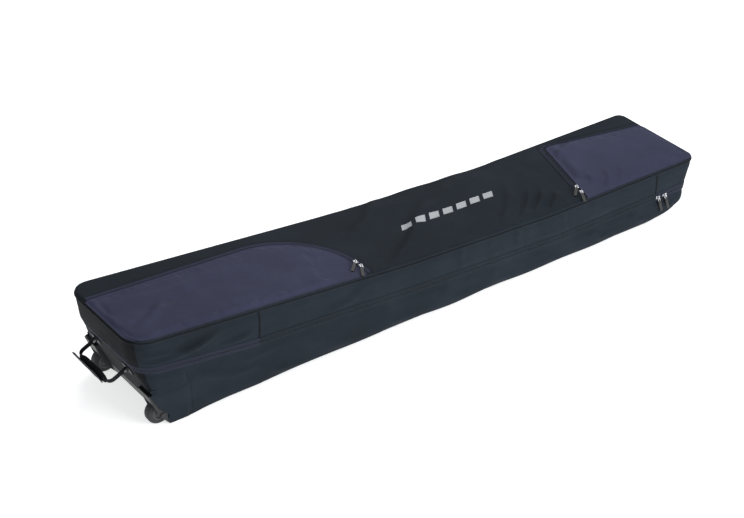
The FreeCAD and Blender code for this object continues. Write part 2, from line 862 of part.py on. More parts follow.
def top_slab(label, drop, height):
    """A layer that follows the lid's top, at a drop below it."""
    over = cell("overrun")
    high = cell("wheel_end_height")
    rise = f"({high} - {cell('knee_height')}) / {cell('knee_run')} * {over}"
    marks = [
        (f"-{over}", f"{high} + {rise}"),
        (cell("knee_run"), cell("knee_height")),
        (cell("low_run"), cell("low_height")),
        (f"{cell('length')} + {over}", cell("far_end_height")),
    ]
    upper = [(along(run), f"{z} - {drop}") for run, z in marks]
    lower = [(along(run), f"{z} - {drop} - {height}") for run, z in reversed(marks)]
    body = new_body(label)
    wide = f"({HALF_WIDTH} + {over})"
    across(body, f"{label}_pad", upper + lower, f"-{wide}", wide)
    return body


lid_whole = boolean("Cut", "lid_whole", shell, below_lid)
near_room = boolean("Fuse", "near_room", near_seat, near_hollow)
far_room = boolean("Fuse", "far_room", far_seat, far_hollow)
lid_near_cut = boolean("Cut", "lid_near_cut", lid_whole, near_room)
lid_shell = keep(boolean("Cut", "lid_shell", lid_near_cut, far_room))

piping_skin = boolean("Cut", "piping_skin", piping_form, outer)
piping_layer = top_slab("piping_layer", cell("piping_drop"), cell("piping_height"))
lid_piping = keep(boolean("Common", "lid_piping", piping_skin, piping_layer))


# ---------------------------------------------------------------- main zip and hinge tapes

zip_reach = new_body("zip_reach")
across(
    zip_reach,
    "zip_reach_pad",
    rectangle(
        along(f"-{cell('overrun')}"),
        along(f"{cell('length')} + {cell('overrun')}"),
        f"-{cell('overrun')}",
        f"{cell('wheel_end_height')} + {cell('overrun')}",
    ),
    f"-{HALF_WIDTH} - {cell('overrun')}",
    f"{HALF_WIDTH} - {cell('zip_corner_clear')}",
)


def main_zip(label, layer_top, layer_bottom):
    """One half of the main zip: a thin tape over the form, round the front and both ends."""
    layer = boolean("Cut", f"{label}_layer", layer_top, layer_bottom)
    reached = boolean("Common", f"{label}_reached", layer, zip_reach)
    band = boolean("Common", f"{label}_band", tape_form, reached)
    return keep(boolean("Cut", label, band, outer))


main_zip("main_zip_lower", below_tub, below_zip_band)
main_zip("main_zip_upper", above_zip_band, below_lid)


def hinge_tape(label, low, high):
    """One half of the fabric hinge, sewn along the back beside the straight parting."""
    margin, start = cell("hinge_tape_margin"), cell("wheel_end_zip_height")
    runs = [margin, f"({cell('length')} - {margin})"]
    line = [(along(run), f"{start} + {STRAIGHT_FALL} * {run}") for run in runs]
    corners = [(x, f"{z} + {low}") for x, z in line]
    corners += [(x, f"{z} + {high}") for x, z in reversed(line)]
    body = new_body(label)
    outside = f"{HALF_WIDTH} + {cell('hinge_tape_thickness')}"
    across(body, f"{label}_pad", corners, HALF_WIDTH, outside)
    return keep(body)


hinge_tape("hinge_tape_lower", f"-{cell('hinge_tape_height')}", "0")
hinge_tape("hinge_tape_upper", cell("lid_gap"), cell("hinge_tape_height"))


# ---------------------------------------------------------------- sliders and pulls


def two_outlines(body, name, role, outlines, length, turn=0):
    """A pad of one outline with another cut out of it, centred on its plane."""
    sketch = drawn_on(body, f"{name}_outlines", role, turn=turn)
    for outline in outlines:
        side_lines(sketch, outline)
    doc.recompute()
    made = body.newObject("PartDesign::Pad", name)
    made.Profile = sketch
    made.Midplane = True
    bind(made, "Length", length)
    doc.recompute()
    return made


def slider(name, place, yaw):
    """A zip slider: a shield astride the coil, and a bail that faces the way its pull lies."""
    body = new_body(name, place)
    half, nose, wide = f"{cell('slider_length')} / 2", cell("slider_nose"), cell("slider_width")
    shield = [
        (f"-{half}", f"-{wide} / 3"),
        (f"{nose} - {half}", f"-{wide} / 2"),
        (half, f"-{wide} / 2"),
        (half, f"{wide} / 2"),
        (f"{nose} - {half}", f"{wide} / 2"),
        (f"-{half}", f"{wide} / 3"),
    ]
    foot = f"{cell('slider_clear')} - {cell('zip_drop')}"
    roof = cell("slider_height")
    upright(body, f"{name}_shield", shield, foot, roof)
    rounded(
        body,
        f"{name}_shield_edge",
        cell("slider_edge_radius"),
        lambda edge: all(abs(v.Point.z - number(roof)) < NEAR for v in edge.Vertexes),
    )
    groove = f"{cell('slider_groove_width')} / 2"
    ceiling = f"{foot} + {cell('slider_groove_height')}"
    slot = rectangle(f"-{groove}", groove, f"2 * ({foot})", ceiling)
    past = f"({half} + {cell('cut_past')})"
    endwise(body, f"{name}_groove", slot, f"-{past}", past, "Pocket")
    length, top = f"{cell('bail_length')} / 2", f"{roof} + {cell('bail_height')}"
    window, centre = f"{cell('bail_window_length')} / 2", cell("pivot_height")
    tall = f"{cell('bail_window_height')} / 2"
    bottom = f"{roof} - {cell('bail_sink')}"
    arch = [(f"-{length}", bottom), (length, bottom), (window, top), (f"-{window}", top)]
    hole = rectangle(f"-{window}", window, f"{centre} - {tall}", f"{centre} + {tall}")
    two_outlines(body, f"{name}_bail", "XZ_Plane", [arch, hole], cell("bail_thickness"), yaw)
    return keep(body)


def pull(name, place):
    """A wire ring through the slider's bail, and a moulded grip on the ring's far end."""
    wire, wide = cell("ring_wire"), f"{cell('ring_width')} / 2"
    ring = new_body(f"{name}_ring", place)
    end = f"{cell('ring_length')} - {wire} / 2"
    outside = rectangle(f"-{wire} / 2", end, f"-{wide}", wide)
    inside = rectangle(f"{wire} / 2", f"{end} - {wire}", f"{wire} - {wide}", f"{wide} - {wire}")
    two_outlines(ring, f"{name}_wire", "XY_Plane", [outside, inside], wire)
    keep(ring)
    blank = new_body(f"{name}_grip_blank", place)
    start, end = cell("grip_start"), cell("grip_end")
    neck, half = f"{cell('grip_neck_width')} / 2", f"{cell('grip_width')} / 2"
    thick = cell("grip_thickness")
    corners = [
        (start, f"-{neck}"),
        (f"{start} + {half}", f"-{neck}"),
        (f"{start} + 2 * {half}", f"-{half}"),
        (end, f"-{half}"),
        (end, half),
        (f"{start} + 2 * {half}", half),
        (f"{start} + {half}", neck),
        (start, neck),
    ]
    upright(blank, f"{name}_grip_pad", corners, f"-{thick} / 2", f"{thick} / 2")
    for index in (3, 4):
        rounded(blank, f"{name}_grip_tip{index}", f"{half} / 2", edge_near(corners[index]))
    rounded(
        blank,
        f"{name}_grip_edge",
        f"{thick} / 4",
        lambda edge: abs(abs(edge.CenterOfMass.z) - number(thick) / 2) < NEAR,
    )
    return keep(boolean("Cut", f"{name}_grip", blank, ring))


def lying(place, yaw, droop):
    """The frame of a pull in its slider's bail, along a yaw in the zip's plane and drooping to it."""
    pivot = Placement(Vector(0, 0, number(cell("pivot_height"))), Rotation(Vector(0, 0, 1), yaw))
    return place.multiply(pivot).multiply(Placement(Vector(), Rotation(Vector(0, 1, 0), droop)))


def on_main_zip(run):
    """A frame on the front zip: X along the zip, Y up and Z out of the bag."""
    marks = [(number(x), number(z)) for x, z in parting_marks(back=False)]
    spans = zip(marks, marks[1:])
    (a, low), (b, high) = next(pair for pair in spans if pair[0][0] <= run <= pair[1][0])
    slope = slope_of(high - low, b - a)
    height = low + (high - low) * (run - a) / (b - a) + number(cell("lid_gap")) / 2
    face = number(f"{HALF_WIDTH} + {cell('tape_thickness')} + {cell('zip_drop')}")
    spot = Vector(number(along(run)), -face, height)
    return Placement(spot, Rotation(Vector(0, 1, 0), -slope).multiply(Rotation(Vector(1, 0, 0), 90)))


def in_plane(plane, x, y, yaw):
    """A frame in a pocket's plane, turned by a yaw."""
    return plane.multiply(Placement(Vector(x, y, 0), Rotation(Vector(0, 0, 1), yaw)))


zip_inset = number(cell("zip_line"))
arc_radius = number(cell("near_arc_radius"))
arc_centre_x = number(cell("near_pocket_length")) - arc_radius
seam_rise = number(f"{cell('near_seam_end')} - {cell('near_seam_start')}")
seam_slope = seam_rise / number(f"{cell('near_pocket_length')} - {cell('pocket_edge')}")
arc_centre_y = (
    number(cell("near_seam_start"))
    + seam_slope * (arc_centre_x - number(cell("pocket_edge")))
    - arc_radius * math.hypot(1, seam_slope)
)
near_angle = math.radians(number(cell("near_slider_angle")))
zip_radius = arc_radius - zip_inset

far_front = Vector(
    number(cell("far_pocket_front_run")) + zip_inset,
    number(f"-{HALF_WIDTH} + {cell('pocket_edge')}"),
    0,
)
far_back = Vector(
    number(cell("far_pocket_back_run")) + zip_inset,
    number(cell("far_pocket_back_side")) - zip_inset,
    0,
)
far_line = far_back - far_front
far_yaw = math.degrees(math.atan2(far_line.y, far_line.x))


def far_slider_spot(side):
    """The point on the far pocket's straight zip at a given Y."""
    return far_front + far_line * ((side - far_front.y) / far_line.y)


upper_yaw, lower_yaw = number(cell("upper_pull_yaw")), number(cell("lower_pull_yaw"))
droop = number(cell("pull_droop"))
lean = number(cell("main_pull_lean"))
far_upper = far_slider_spot(number(cell("far_slider_side")))
far_lower = far_slider_spot(number(cell("far_slider_front_side")))
near_upper_yaw = 90 + number(cell("near_slider_angle"))
near_upper_spot = (
    arc_centre_x + zip_radius * math.cos(near_angle),
    arc_centre_y + zip_radius * math.sin(near_angle),
)
near_lower_spot = (arc_centre_x + zip_radius, number(cell("near_slider_front_side")))
# Each slider's frame, its pull's yaw in that frame and its pull's droop.
sliders = {
    "main_near": (on_main_zip(number(cell("main_slider_near_run"))), lean, 0),
    "main_far": (on_main_zip(number(cell("main_slider_far_run"))), lean, 0),
    "near_upper": (
        in_plane(near_top, *near_upper_spot, near_upper_yaw), upper_yaw - near_upper_yaw, droop
    ),
    "near_lower": (in_plane(near_top, *near_lower_spot, 90), lower_yaw - 90, droop),
    "far_upper": (in_plane(far_top, far_upper.x, far_upper.y, far_yaw), upper_yaw - far_yaw, droop),
    "far_lower": (in_plane(far_top, far_lower.x, far_lower.y, far_yaw), lower_yaw - far_yaw, droop),
}
for name, (place, yaw, pull_fall) in sliders.items():
    slider(f"{name}_slider", place, yaw)
    pull(f"{name}_pull", lying(place, yaw, pull_fall))


# ---------------------------------------------------------------- handle

face_height = number(cell("handle_face_height"))
face_run = number(sloped_run(cell("handle_face_height")))
face_spot = Vector(number(along("0")) + face_run, 0, face_height)
face_slope = slope_of(number(cell("wheel_end_foot")) - face_run, face_height)
face_turn = Rotation(Vector(0, 1, 0), 270 - face_slope)
handle_face = Placement(face_spot, face_turn)
handle_pivot = Placement(
    handle_face.multVec(Vector(0, 0, number(cell("handle_pivot_gap")))),
    Rotation(Vector(0, 1, 0), 180 - number(cell("handle_droop"))),
)


def handle_anchor(index, side):
    """A moulded plate with two ears, and the rivet through them."""
    across_face = Vector(0, side * number(cell("handle_half_span")), 0)
    place = handle_face.multiply(Placement(across_face, Rotation()))
    anchor = new_body(f"anchor_{index}", place)
    plate, pivot = cell("anchor_plate"), cell("handle_pivot_gap")
    length, wide = cell("anchor_half_length"), cell("anchor_half_width")
    corners = rectangle(f"-{wide}", wide, f"-{length}", length)
    upright(anchor, f"anchor_{index}_plate", corners, "0", plate)
    for corner in range(4):
        rounded(anchor, f"anchor_{index}_corner{corner}", f"{wide} / 3", edge_near(corners[corner]))
    near = f"({cell('strap_thickness')} / 2 + {cell('ear_gap')})"
    outside = f"({near} + {cell('ear_thickness')})"
    ear, eye = cell("ear_radius"), cell("eye_radius")
    for ear_index, (start, end) in enumerate([(near, outside), (f"-{outside}", f"-{near}")]):
        post = rectangle(f"-{ear}", ear, f"{plate} / 2", pivot)
        across(anchor, f"anchor_{index}_post{ear_index}", post, start, end)
        round_bar(anchor, f"anchor_{index}_ear{ear_index}", "0", pivot, ear, start, end)
    past = f"({outside} + {cell('cut_past')})"
    round_bar(anchor, f"anchor_{index}_bore", "0", pivot, eye, f"-{past}", past, "Pocket")
    rivet = new_body(f"anchor_rivet_{index}", place)
    round_bar(rivet, f"anchor_rivet_{index}_shank", "0", pivot, eye, f"-{outside}", outside)
    tip = f"({outside} + {cell('rivet_head_height')})"
    head = cell("rivet_head_radius")
    for end, (start, stop) in enumerate([(outside, tip), (f"-{tip}", f"-{outside}")]):
        round_bar(rivet, f"anchor_rivet_{index}_head{end}", "0", pivot, head, start, stop)
    return anchor, rivet


anchors, anchor_rivets = zip(*(handle_anchor(index, side) for index, side in enumerate((-1, 1))))
keep(together("handle_anchors", list(anchors)))
keep(together("handle_rivets", list(anchor_rivets)))


def handle_strap():
    """A flat webbing loop that narrows to a rivet eye at each end."""
    body = new_body("handle_strap", handle_pivot)
    end, reach, thick = cell("strap_end_radius"), cell("handle_reach"), cell("strap_thickness")
    outside = f"({cell('handle_half_span')} + {thick} / 2)"
    inside = f"({cell('handle_half_span')} - {thick} / 2)"
    wide = cell("strap_half_width")
    loop = rectangle(f"-{end}", reach, f"-{outside}", outside)
    upright(body, "strap_loop", loop, f"-{wide}", wide)
    gap = rectangle(f"-2 * {end}", f"{reach} - {thick}", f"-{inside}", inside)
    upright(body, "strap_gap", gap, f"-2 * {wide}", f"2 * {wide}", "Pocket")
    radius = cell("strap_corner_radius")
    for index in (1, 2):
        rounded(body, f"strap_inner_corner{index}", f"{radius} - {thick}", edge_near(gap[index]))
        rounded(body, f"strap_corner{index}", radius, edge_near(loop[index]))
    over = f"({outside} + {cell('cut_past')})"
    for name, sign in (("upper", ""), ("lower", "-")):
        taper = [
            (f"-2 * {end}", f"{sign}{end}"),
            (f"2 * {end}", f"{sign}{end}"),
            (f"4 * {end}", f"{sign}({wide} + {NEAR})"),
            (f"-2 * {end}", f"{sign}({wide} + {NEAR})"),
        ]
        across(body, f"strap_taper_{name}", taper, f"-{over}", over, "Pocket")
    eye = f"{cell('eye_radius')} + {cell('running_clearance')}"
    round_bar(body, "strap_eye", "0", "0", eye, f"-{over}", over, "Pocket")
    tip = number(end)

    def at_tips(edge):
        """Picks the edges across the end of each leg."""
        middle = edge.CenterOfMass
        return abs(middle.x + tip) < NEAR and abs(abs(middle.z) - tip) < NEAR

    rounded(body, "strap_tips", cell("strap_tip_radius"), at_tips)
    return keep(body)


strap = handle_strap()
grip_centre = f"({cell('handle_reach')} - {cell('strap_thickness')} / 2)"
grip_blank = new_body("handle_grip_blank", handle_pivot)
grip_outline = rectangle(
    f"{grip_centre} - {cell('grip_half_depth')}",
    f"{grip_centre} + {cell('grip_half_depth')}",
    f"-{cell('grip_half_height')}",
    cell("grip_half_height"),
)
across(grip_blank, "grip_pad", grip_outline, f"-{cell('grip_half_length')}", cell("grip_half_length"))
rounded(
    grip_blank,
    "grip_edges",
    cell("grip_edge_radius"),
    lambda edge: abs(edge.CenterOfMass.y) < NEAR,
)
keep(boolean("Cut", "handle_grip", grip_blank, strap))

cuff = new_body("handle_cuff", handle_pivot)
cuff_start = f"{grip_centre} + {cell('grip_half_depth')}"
across(
    cuff,
    "cuff_pad",
    rectangle(
        cuff_start,
        f"{cuff_start} + {cell('cuff_thickness')}",
        f"{cell('cuff_rise')} - {cell('cuff_height')}",
        cell("cuff_rise"),
    ),
    f"-{cell('grip_half_length')}",
    f"{cell('grip_half_length')} + {cell('cuff_tail')}",
)
keep(cuff)


# ---------------------------------------------------------------- inside the tub

board_half = f"({HALF_WIDTH} - {cell('bottom_edge_radius')} - {cell('board_clear')})"
board_top = f"({cell('wall')} + {cell('board_thickness')})"
foam_top = f"({board_top} + {cell('foam_thickness')})"
board_outline = rectangle(
    along(cell("board_start_run")), along(cell("board_end_run")), f"-{board_half}", board_half
)
board = new_body("base_board")
upright(board, "board_sheet", board_outline, cell("wall"), board_top)
keep(board)
foam = new_body("base_foam")
upright(foam, "foam_sheet", board_outline, board_top, foam_top)
keep(foam)


def tie_strap(index, run):
    """Webbing across the foam, with its ends sewn up the tub's sides."""
    body = new_body(f"tie_strap_{index}")
    outside = f"({HALF_WIDTH} - {cell('wall')} - {cell('tie_clear')})"
    inside = f"({outside} - {cell('tie_thickness')})"
    top = f"({foam_top} + {cell('tie_rise')})"
    upper = f"({foam_top} + {cell('tie_thickness')})"
    corners = [
        (f"-{outside}", top),
        (f"-{outside}", foam_top),
        (outside, foam_top),
        (outside, top),
        (inside, top),
        (inside, upper),
        (f"-{inside}", upper),
        (f"-{inside}", top),
    ]
    half = f"{cell('tie_width')} / 2"
    endwise(body, f"tie_{index}_web", corners, along(f"{run} - {half}"), along(f"{run} + {half}"))
    return body


def tie_buckle(index, run):
    """A flat ladder buckle that lies on the webbing."""
    body = new_body(f"tie_buckle_{index}")
    bottom = f"({foam_top} + {cell('tie_thickness')})"
    bar = cell("buckle_bar")
    half, wide = f"{cell('buckle_length')} / 2", f"{cell('buckle_width')} / 2"
    side = cell("buckle_side")
    outline = rectangle(
        along(f"{run} - {wide}"),
        along(f"{run} + {wide}"),
        f"{side} - {half}",
        f"{side} + {half}",
    )
    top = f"{bottom} + {cell('buckle_thickness')}"
    upright(body, f"buckle_{index}_frame", outline, bottom, top)
    for corner in range(4):
        rounded(body, f"buckle_{index}_corner{corner}", bar, edge_near(outline[corner]))
    for name, (low, high) in {
        "front": (f"{side} - {half} + {bar}", f"{side} - {bar} / 2"),
        "back": (f"{side} + {bar} / 2", f"{side} + {half} - {bar}"),
    }.items():
        start, end = along(f"{run} - {wide} + {bar}"), along(f"{run} + {wide} - {bar}")
        window = rectangle(start, end, low, high)
        upright(body, f"buckle_{index}_{name}_window", window, "0", f"{bottom} * 2", "Pocket")
    return body


tie_runs = [cell("tie_near_run"), cell("tie_far_run")]
keep(together("tie_straps", [tie_strap(index, run) for index, run in enumerate(tie_runs)]))
keep(together("tie_buckles", [tie_buckle(index, run) for index, run in enumerate(tie_runs)]))


# ---------------------------------------------------------------- checks and files

doc.recompute()
for thing in doc.Objects:
    if {"Invalid", "Error"} & set(thing.State):
        raise ValueError(f"{thing.Label} is {thing.State}")
for thing in nodes:
    if thing.Shape.isNull() or not thing.Shape.isValid() or not thing.Shape.Solids:
        raise ValueError(f"{thing.Label} has no valid solid")
    if len(thing.Label) >= LONGEST_NAME:
        raise ValueError(f"{thing.Label} is too long a name")
os.makedirs("parts", exist_ok=True)
for thing in nodes:
    thing.Shape.exportStep(f"parts/{thing.Label}.step")
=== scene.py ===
"""Looks of the wheeled snowboard bag: fabric shells, pockets, zips, handle, studio and camera."""

import bpy
import json
import math
from collections import namedtuple

import numpy as np
from mathutils import Matrix, Vector


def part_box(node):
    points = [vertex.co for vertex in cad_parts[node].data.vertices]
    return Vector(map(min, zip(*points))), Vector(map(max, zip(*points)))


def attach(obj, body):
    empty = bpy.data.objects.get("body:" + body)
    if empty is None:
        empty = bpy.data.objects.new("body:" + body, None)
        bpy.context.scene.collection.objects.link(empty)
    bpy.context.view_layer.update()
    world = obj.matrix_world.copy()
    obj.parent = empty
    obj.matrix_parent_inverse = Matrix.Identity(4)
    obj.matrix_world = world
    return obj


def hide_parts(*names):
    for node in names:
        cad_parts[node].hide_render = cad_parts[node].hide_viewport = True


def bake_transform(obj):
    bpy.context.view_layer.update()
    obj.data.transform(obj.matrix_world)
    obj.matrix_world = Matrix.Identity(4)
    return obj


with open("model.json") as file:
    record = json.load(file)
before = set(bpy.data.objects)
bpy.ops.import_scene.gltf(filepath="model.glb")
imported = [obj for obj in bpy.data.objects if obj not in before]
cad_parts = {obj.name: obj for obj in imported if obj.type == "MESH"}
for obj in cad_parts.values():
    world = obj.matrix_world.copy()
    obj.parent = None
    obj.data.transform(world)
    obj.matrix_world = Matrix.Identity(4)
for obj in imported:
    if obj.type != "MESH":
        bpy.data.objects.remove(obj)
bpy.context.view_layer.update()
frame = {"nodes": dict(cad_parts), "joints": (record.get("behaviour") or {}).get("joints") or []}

# ---- the bag's measures, in metres
START = -0.9285
LENGTH = 1.893
HALF = 0.165
WALL = 0.005
LID_GAP = 0.0006
TOP_EDGE = 0.009
BOTTOM_EDGE = 0.018
NEAR_CORNER = 0.055
NEAR_CORNER_LINE = ((0.106, 0.020), (0.172, 0.055))
FAR_CORNER = 0.028
NEAR_FADE = 0.1503
FAR_FADE = 0.12
TOP_LINE = ((0, 0.278), (0.835, 0.2042), (1.330, 0.181), (1.893, 0.184))
BOTTOM_LINE = ((0, 0), (1.725, 0), (1.8, 0.010), (1.856, 0.038))
FRONT_PARTING = (
    (0, 0.180), (0.036, 0.1775), (0.131, 0.167), (0.356, 0.1405), (0.642, 0.1235), (0.876, 0.108),
    (1.157, 0.0952), (1.371, 0.0862), (1.526, 0.0886), (1.735, 0.0926), (1.857, 0.0947), (1.893, 0.093),
)
BACK_PARTING = ((0, 0.180), (1.893, 0.093))
NEAR_LEAN = ((0, 0.094), (0.012, 0.0852), (0.198, 0.010), (0.278, 0))
FAR_LEAN = ((0.038, 1.856), (0.110, 1.872), (0.184, 1.893))
HOUSING_SIDE = 0.1097
HOUSING_TOP = 0.1058
GUARD_END = 0.2158
GUARD_SIDE = 0.1084
GUARD_TOP = 0.0468
GUARD_DEPTH = 0.0033
ZIP_SEAMS = (0.365, 1.740)
ZIP_END_SIDE = 0.109
THREAD_WIDTH = 0.0006
# The spacing of the shells' grids, and how far grid lines stand off each side of a step.
SHELL_STEP = 0.0062
STEP_SIDE = 0.0003
# How far a strip's back stands off the wall, and how many points run along a pocket's strip.
STRIP_BACK = 0.0001
STRIP_POINTS = 220
# A cap so far below that its rounded edge never reaches the wall.
FAR_CAP = -1.0
SEED = 11


# ---- small numeric helpers


def through(points, value, soften=0.0):
    """A broken line's height at value, averaged over a little way each side of it."""
    xs, ys = zip(*points)
    steps = (-1, -0.5, 0, 0.5, 1) if soften else (0,)
    return sum(np.interp(value + soften * s, xs, ys) for s in steps) / len(steps)


def ease(value, low, high):
    """0 below low, 1 above high and a smooth step between."""
    t = np.clip((value - low) / (high - low), 0, 1)
    return t * t * (3 - 2 * t)


def window(value, rise_start, rise_end, fall_start, fall_end):
    """0 outside, 1 within and a smooth step at each end."""
    return ease(value, rise_start, rise_end) * (1 - ease(value, fall_start, fall_end))


def hump(value, centre, width):
    """1 at the centre, falling smoothly to nothing a few widths away."""
    return np.exp(-(((value - centre) / width) ** 2))


def unit(vectors):
    """Vectors at a length of one."""
    return vectors / np.linalg.norm(vectors, axis=-1, keepdims=True)


def drift(points, size, seed, waves=14):
    """A smooth seeded wander of about -1 to 1 whose bumps are about size across."""
    rng = np.random.default_rng(seed)
    total = np.zeros(points.shape[:-1])
    for _ in range(waves):
        direction = rng.normal(size=3)
        direction /= np.linalg.norm(direction)
        rate = 2 * math.pi / (size * rng.uniform(0.7, 1.9))
        total += np.sin(points @ direction * rate + rng.uniform(0, 2 * math.pi))
    return total / math.sqrt(waves)


def folds(flat, lines):
    """Creases on a flat map, from lines of (start, end, width, height), each with a trough beside it."""
    total = np.zeros(flat.shape[:-1])
    for start, end, width, height in lines:
        a = np.array(start, float)
        b = np.array(end, float)
        span = np.linalg.norm(b - a)
        along = (b - a) / span
        side = np.array((-along[1], along[0]))
        u = (flat - a) @ along / span
        bow = 0.06 * span * np.sin(math.pi * np.clip(u, 0, 1))
        v = ((flat - a) @ side + bow) / width
        held = window(u, -0.12, 0.25, 0.7, 1.12)
        total += height * held * (hump(v, 0, 1) - 0.55 * hump(v, 1.7, 1))
    return total


def top_height(run):
    """The lid's top."""
    return through(TOP_LINE, run, 0.03)


def bottom_height(run):
    """The tub's bottom."""
    return through(BOTTOM_LINE, run, 0.015)


def parting_height(run, side):
    """Where lid and tub meet: the front line, the back line, and straight between them at the ends."""
    front = through(FRONT_PARTING, run, 0.012)
    back = through(BACK_PARTING, run)
    share = np.clip((side + HALF) / (2 * HALF), 0, 1)
    return front + (back - front) * share


# ---- the form that everything lies on


def corner_radii(run, height):
    """Radii along the run and across, so that the lean of each end leaves its corners round."""
    near = run < LENGTH / 2
    squeeze_near = 1 - through(NEAR_LEAN, height) / NEAR_FADE
    squeeze_far = 1 - (LENGTH - through(FAR_LEAN, height)) / FAR_FADE
    radius = np.where(near, through(NEAR_CORNER_LINE, height), FAR_CORNER)
    return radius / np.where(near, squeeze_near, squeeze_far), radius


def lean(run, height):
    """How far the sloping ends move a point along the bag."""
    near = through(NEAR_LEAN, height) * np.clip(1 - run / NEAR_FADE, 0, 1)
    far = (LENGTH - through(FAR_LEAN, height)) * np.clip((run - LENGTH + FAR_FADE) / FAR_FADE, 0, 1)
    return near - far


def on_form(run, side, depth, cap, way, edge):
    """Points of a rounded, leaning box. depth is measured from the cap, and way is 1 where the walls rise."""
    height = cap + way * depth
    along_radius, across_radius = corner_radii(run, height)
    middle_run = np.clip(run, along_radius, LENGTH - along_radius)
    middle_side = np.clip(side, across_radius - HALF, HALF - across_radius)
    out_run = (run - middle_run) / along_radius
    out_side = (side - middle_side) / across_radius
    reach = np.maximum(abs(out_run), abs(out_side))
    size = np.maximum(np.hypot(out_run, out_side), 1e-9)
    a = np.clip(edge - across_radius * (1 - reach), 0, edge)
    b = np.clip(edge - depth, 0, edge)
    scale = np.maximum(a, b) / np.maximum(np.hypot(a, b), 1e-9)
    rounded = 1 - (edge - a * scale) / across_radius
    reach = np.where(a > 0, rounded, reach)
    drop = np.where(depth < edge, edge - b * scale, depth)
    run = middle_run + out_run / size * reach * along_radius
    side = middle_side + out_side / size * reach * across_radius
    height = cap + way * drop
    return np.stack((START + run + lean(run, height), side, height), -1)


def wall_at(run, side, height):
    """Points of the upright wall at a height, from places on the square outline."""
    cap = np.full_like(height, FAR_CAP)
    return on_form(run, side, height - cap, cap, 1, TOP_EDGE)


def normals_of(points, faces):
    """Vertex normals of a mesh, as arrays."""
    corners = points[faces]
    face = np.cross(corners[:, 2] - corners[:, 0], corners[:, 3] - corners[:, 1])
    total = np.zeros_like(points)
    for i in range(4):
        np.add.at(total, faces[:, i], face)
    return total / np.maximum(np.linalg.norm(total, axis=1, keepdims=True), 1e-12)


def grid_faces(index):
    """Quads over a 2-D array of vertex numbers."""
    a, b, c, d = index[:-1, :-1], index[1:, :-1], index[1:, 1:], index[:-1, 1:]
    return np.stack((a, b, c, d), -1).reshape(-1, 4)


def at_lengths(path, spots_of):
    """Points along a path, at the lengths that spots_of gives for its whole length."""
    path = np.asarray(path, float)
    lengths = np.concatenate(([0], np.cumsum(np.linalg.norm(np.diff(path, axis=0), axis=1))))
    spots = spots_of(lengths[-1])
    return np.stack([np.interp(spots, lengths, path[:, k]) for k in range(path.shape[1])], -1)


def resampled(path, count):
    """A path as count evenly spaced points, its ends among them."""
    return at_lengths(path, lambda whole: np.linspace(0, whole, count))


def evenly(path, step):
    """Points about step apart along a path, its ends left out, and the directions there."""

    def spots_of(whole):
        """Lengths at the middles of equal shares of the whole."""
        count = max(2, int(whole / step))
        return (np.arange(count) + 0.5) * whole / count

    points = at_lengths(path, spots_of)
    return points, np.gradient(points, axis=0)


def lines_between(start, end, step, extra=()):
    """Grid lines about step apart that include the extra ones."""
    marks = sorted({start, end, *extra})
    values = []
    for a, b in zip(marks, marks[1:]):
        count = max(1, round((b - a) / step))
        values += [a + (b - a) * i / count for i in range(count)]
    return np.array(values + [end])


# ---- materials


def shader(name, colour, roughness, metallic=0.0, specular=0.5, sheen=0.0):
    """A new node material with its constants on the shader's own sockets."""
    material = bpy.data.materials.new(name)
    material.use_nodes = True
    node = material.node_tree.nodes["Principled BSDF"]
    node.inputs["Base Color"].default_value = (*colour, 1)
    node.inputs["Roughness"].default_value = roughness
    node.inputs["Metallic"].default_value = metallic
    node.inputs["Specular IOR Level"].default_value = specular
    node.inputs["Sheen Weight"].default_value = sheen
    node.inputs["Sheen Roughness"].default_value = 0.35
    node.inputs["Sheen Tint"].default_value = (0.75, 0.82, 1.0, 1)
    return material


def link(material, kind, **inputs):
    """A node whose lower-case keys set attributes, and whose others link or set inputs by name or number."""
    node = material.node_tree.nodes.new(kind)
    for key, value in inputs.items():
        if key[0].islower():
            setattr(node, key, value)
            continue
        by_number = key[0] == "I" and key[1:].isdigit()
        socket = node.inputs[int(key[1:]) if by_number else key.replace("_", " ")]
        if isinstance(value, bpy.types.NodeSocket):
            material.node_tree.links.new(value, socket)
        else:
            socket.default_value = value
    return node


def ramp(material, value, stops):
    """A colour ramp from stops of (position, colour)."""
    node = link(material, "ShaderNodeValToRGB", Fac=value)
    elements = node.color_ramp.elements
    while len(elements) < len(stops):
        elements.new(0.5)
    for element, (position, colour) in zip(elements, stops):
        element.position = position
        element.color = (*colour, 1)
    return node.outputs["Color"]


def surface(material):
    """The material's shader node."""
    return material.node_tree.nodes["Principled BSDF"]


def wire(material, output, name):
    """Links an output to one of the shader's inputs."""
    material.node_tree.links.new(output, surface(material).inputs[name])


def place_of(material):
    """The object's own coordinates."""
    return link(material, "ShaderNodeTexCoord").outputs["Object"]


def noise(material, place, scale, detail, rough):
    """Cloudy values of 0 to 1."""
    node = link(material, "ShaderNodeTexNoise", Vector=place, Scale=scale, Detail=detail, Roughness=rough)
    return node.outputs["Fac"]


def combine(material, operation, a, b):
    """The result of a maths node."""
    return link(material, "ShaderNodeMath", operation=operation, I0=a, I1=b).outputs[0]


def scaled(material, value, share):
    """A value times a share."""
    return combine(material, "MULTIPLY", value, share)


def bands(material, place, direction, pitch):
    """Sine bands across one axis, one every pitch metres."""
    node = link(
        material, "ShaderNodeTexWave", wave_type="BANDS", bands_direction=direction, wave_profile="SIN",
        Vector=place, Scale=2 * math.pi / (20 * pitch), Distortion=0.4, Detail=1.0,
    )
    return node.outputs["Fac"]


def vary_roughness(material, value, low, high):
    """Roughness that follows a value between low and high."""
    node = link(material, "ShaderNodeMapRange", Value=value, To_Min=low, To_Max=high)
    wire(material, node.outputs["Result"], "Roughness")


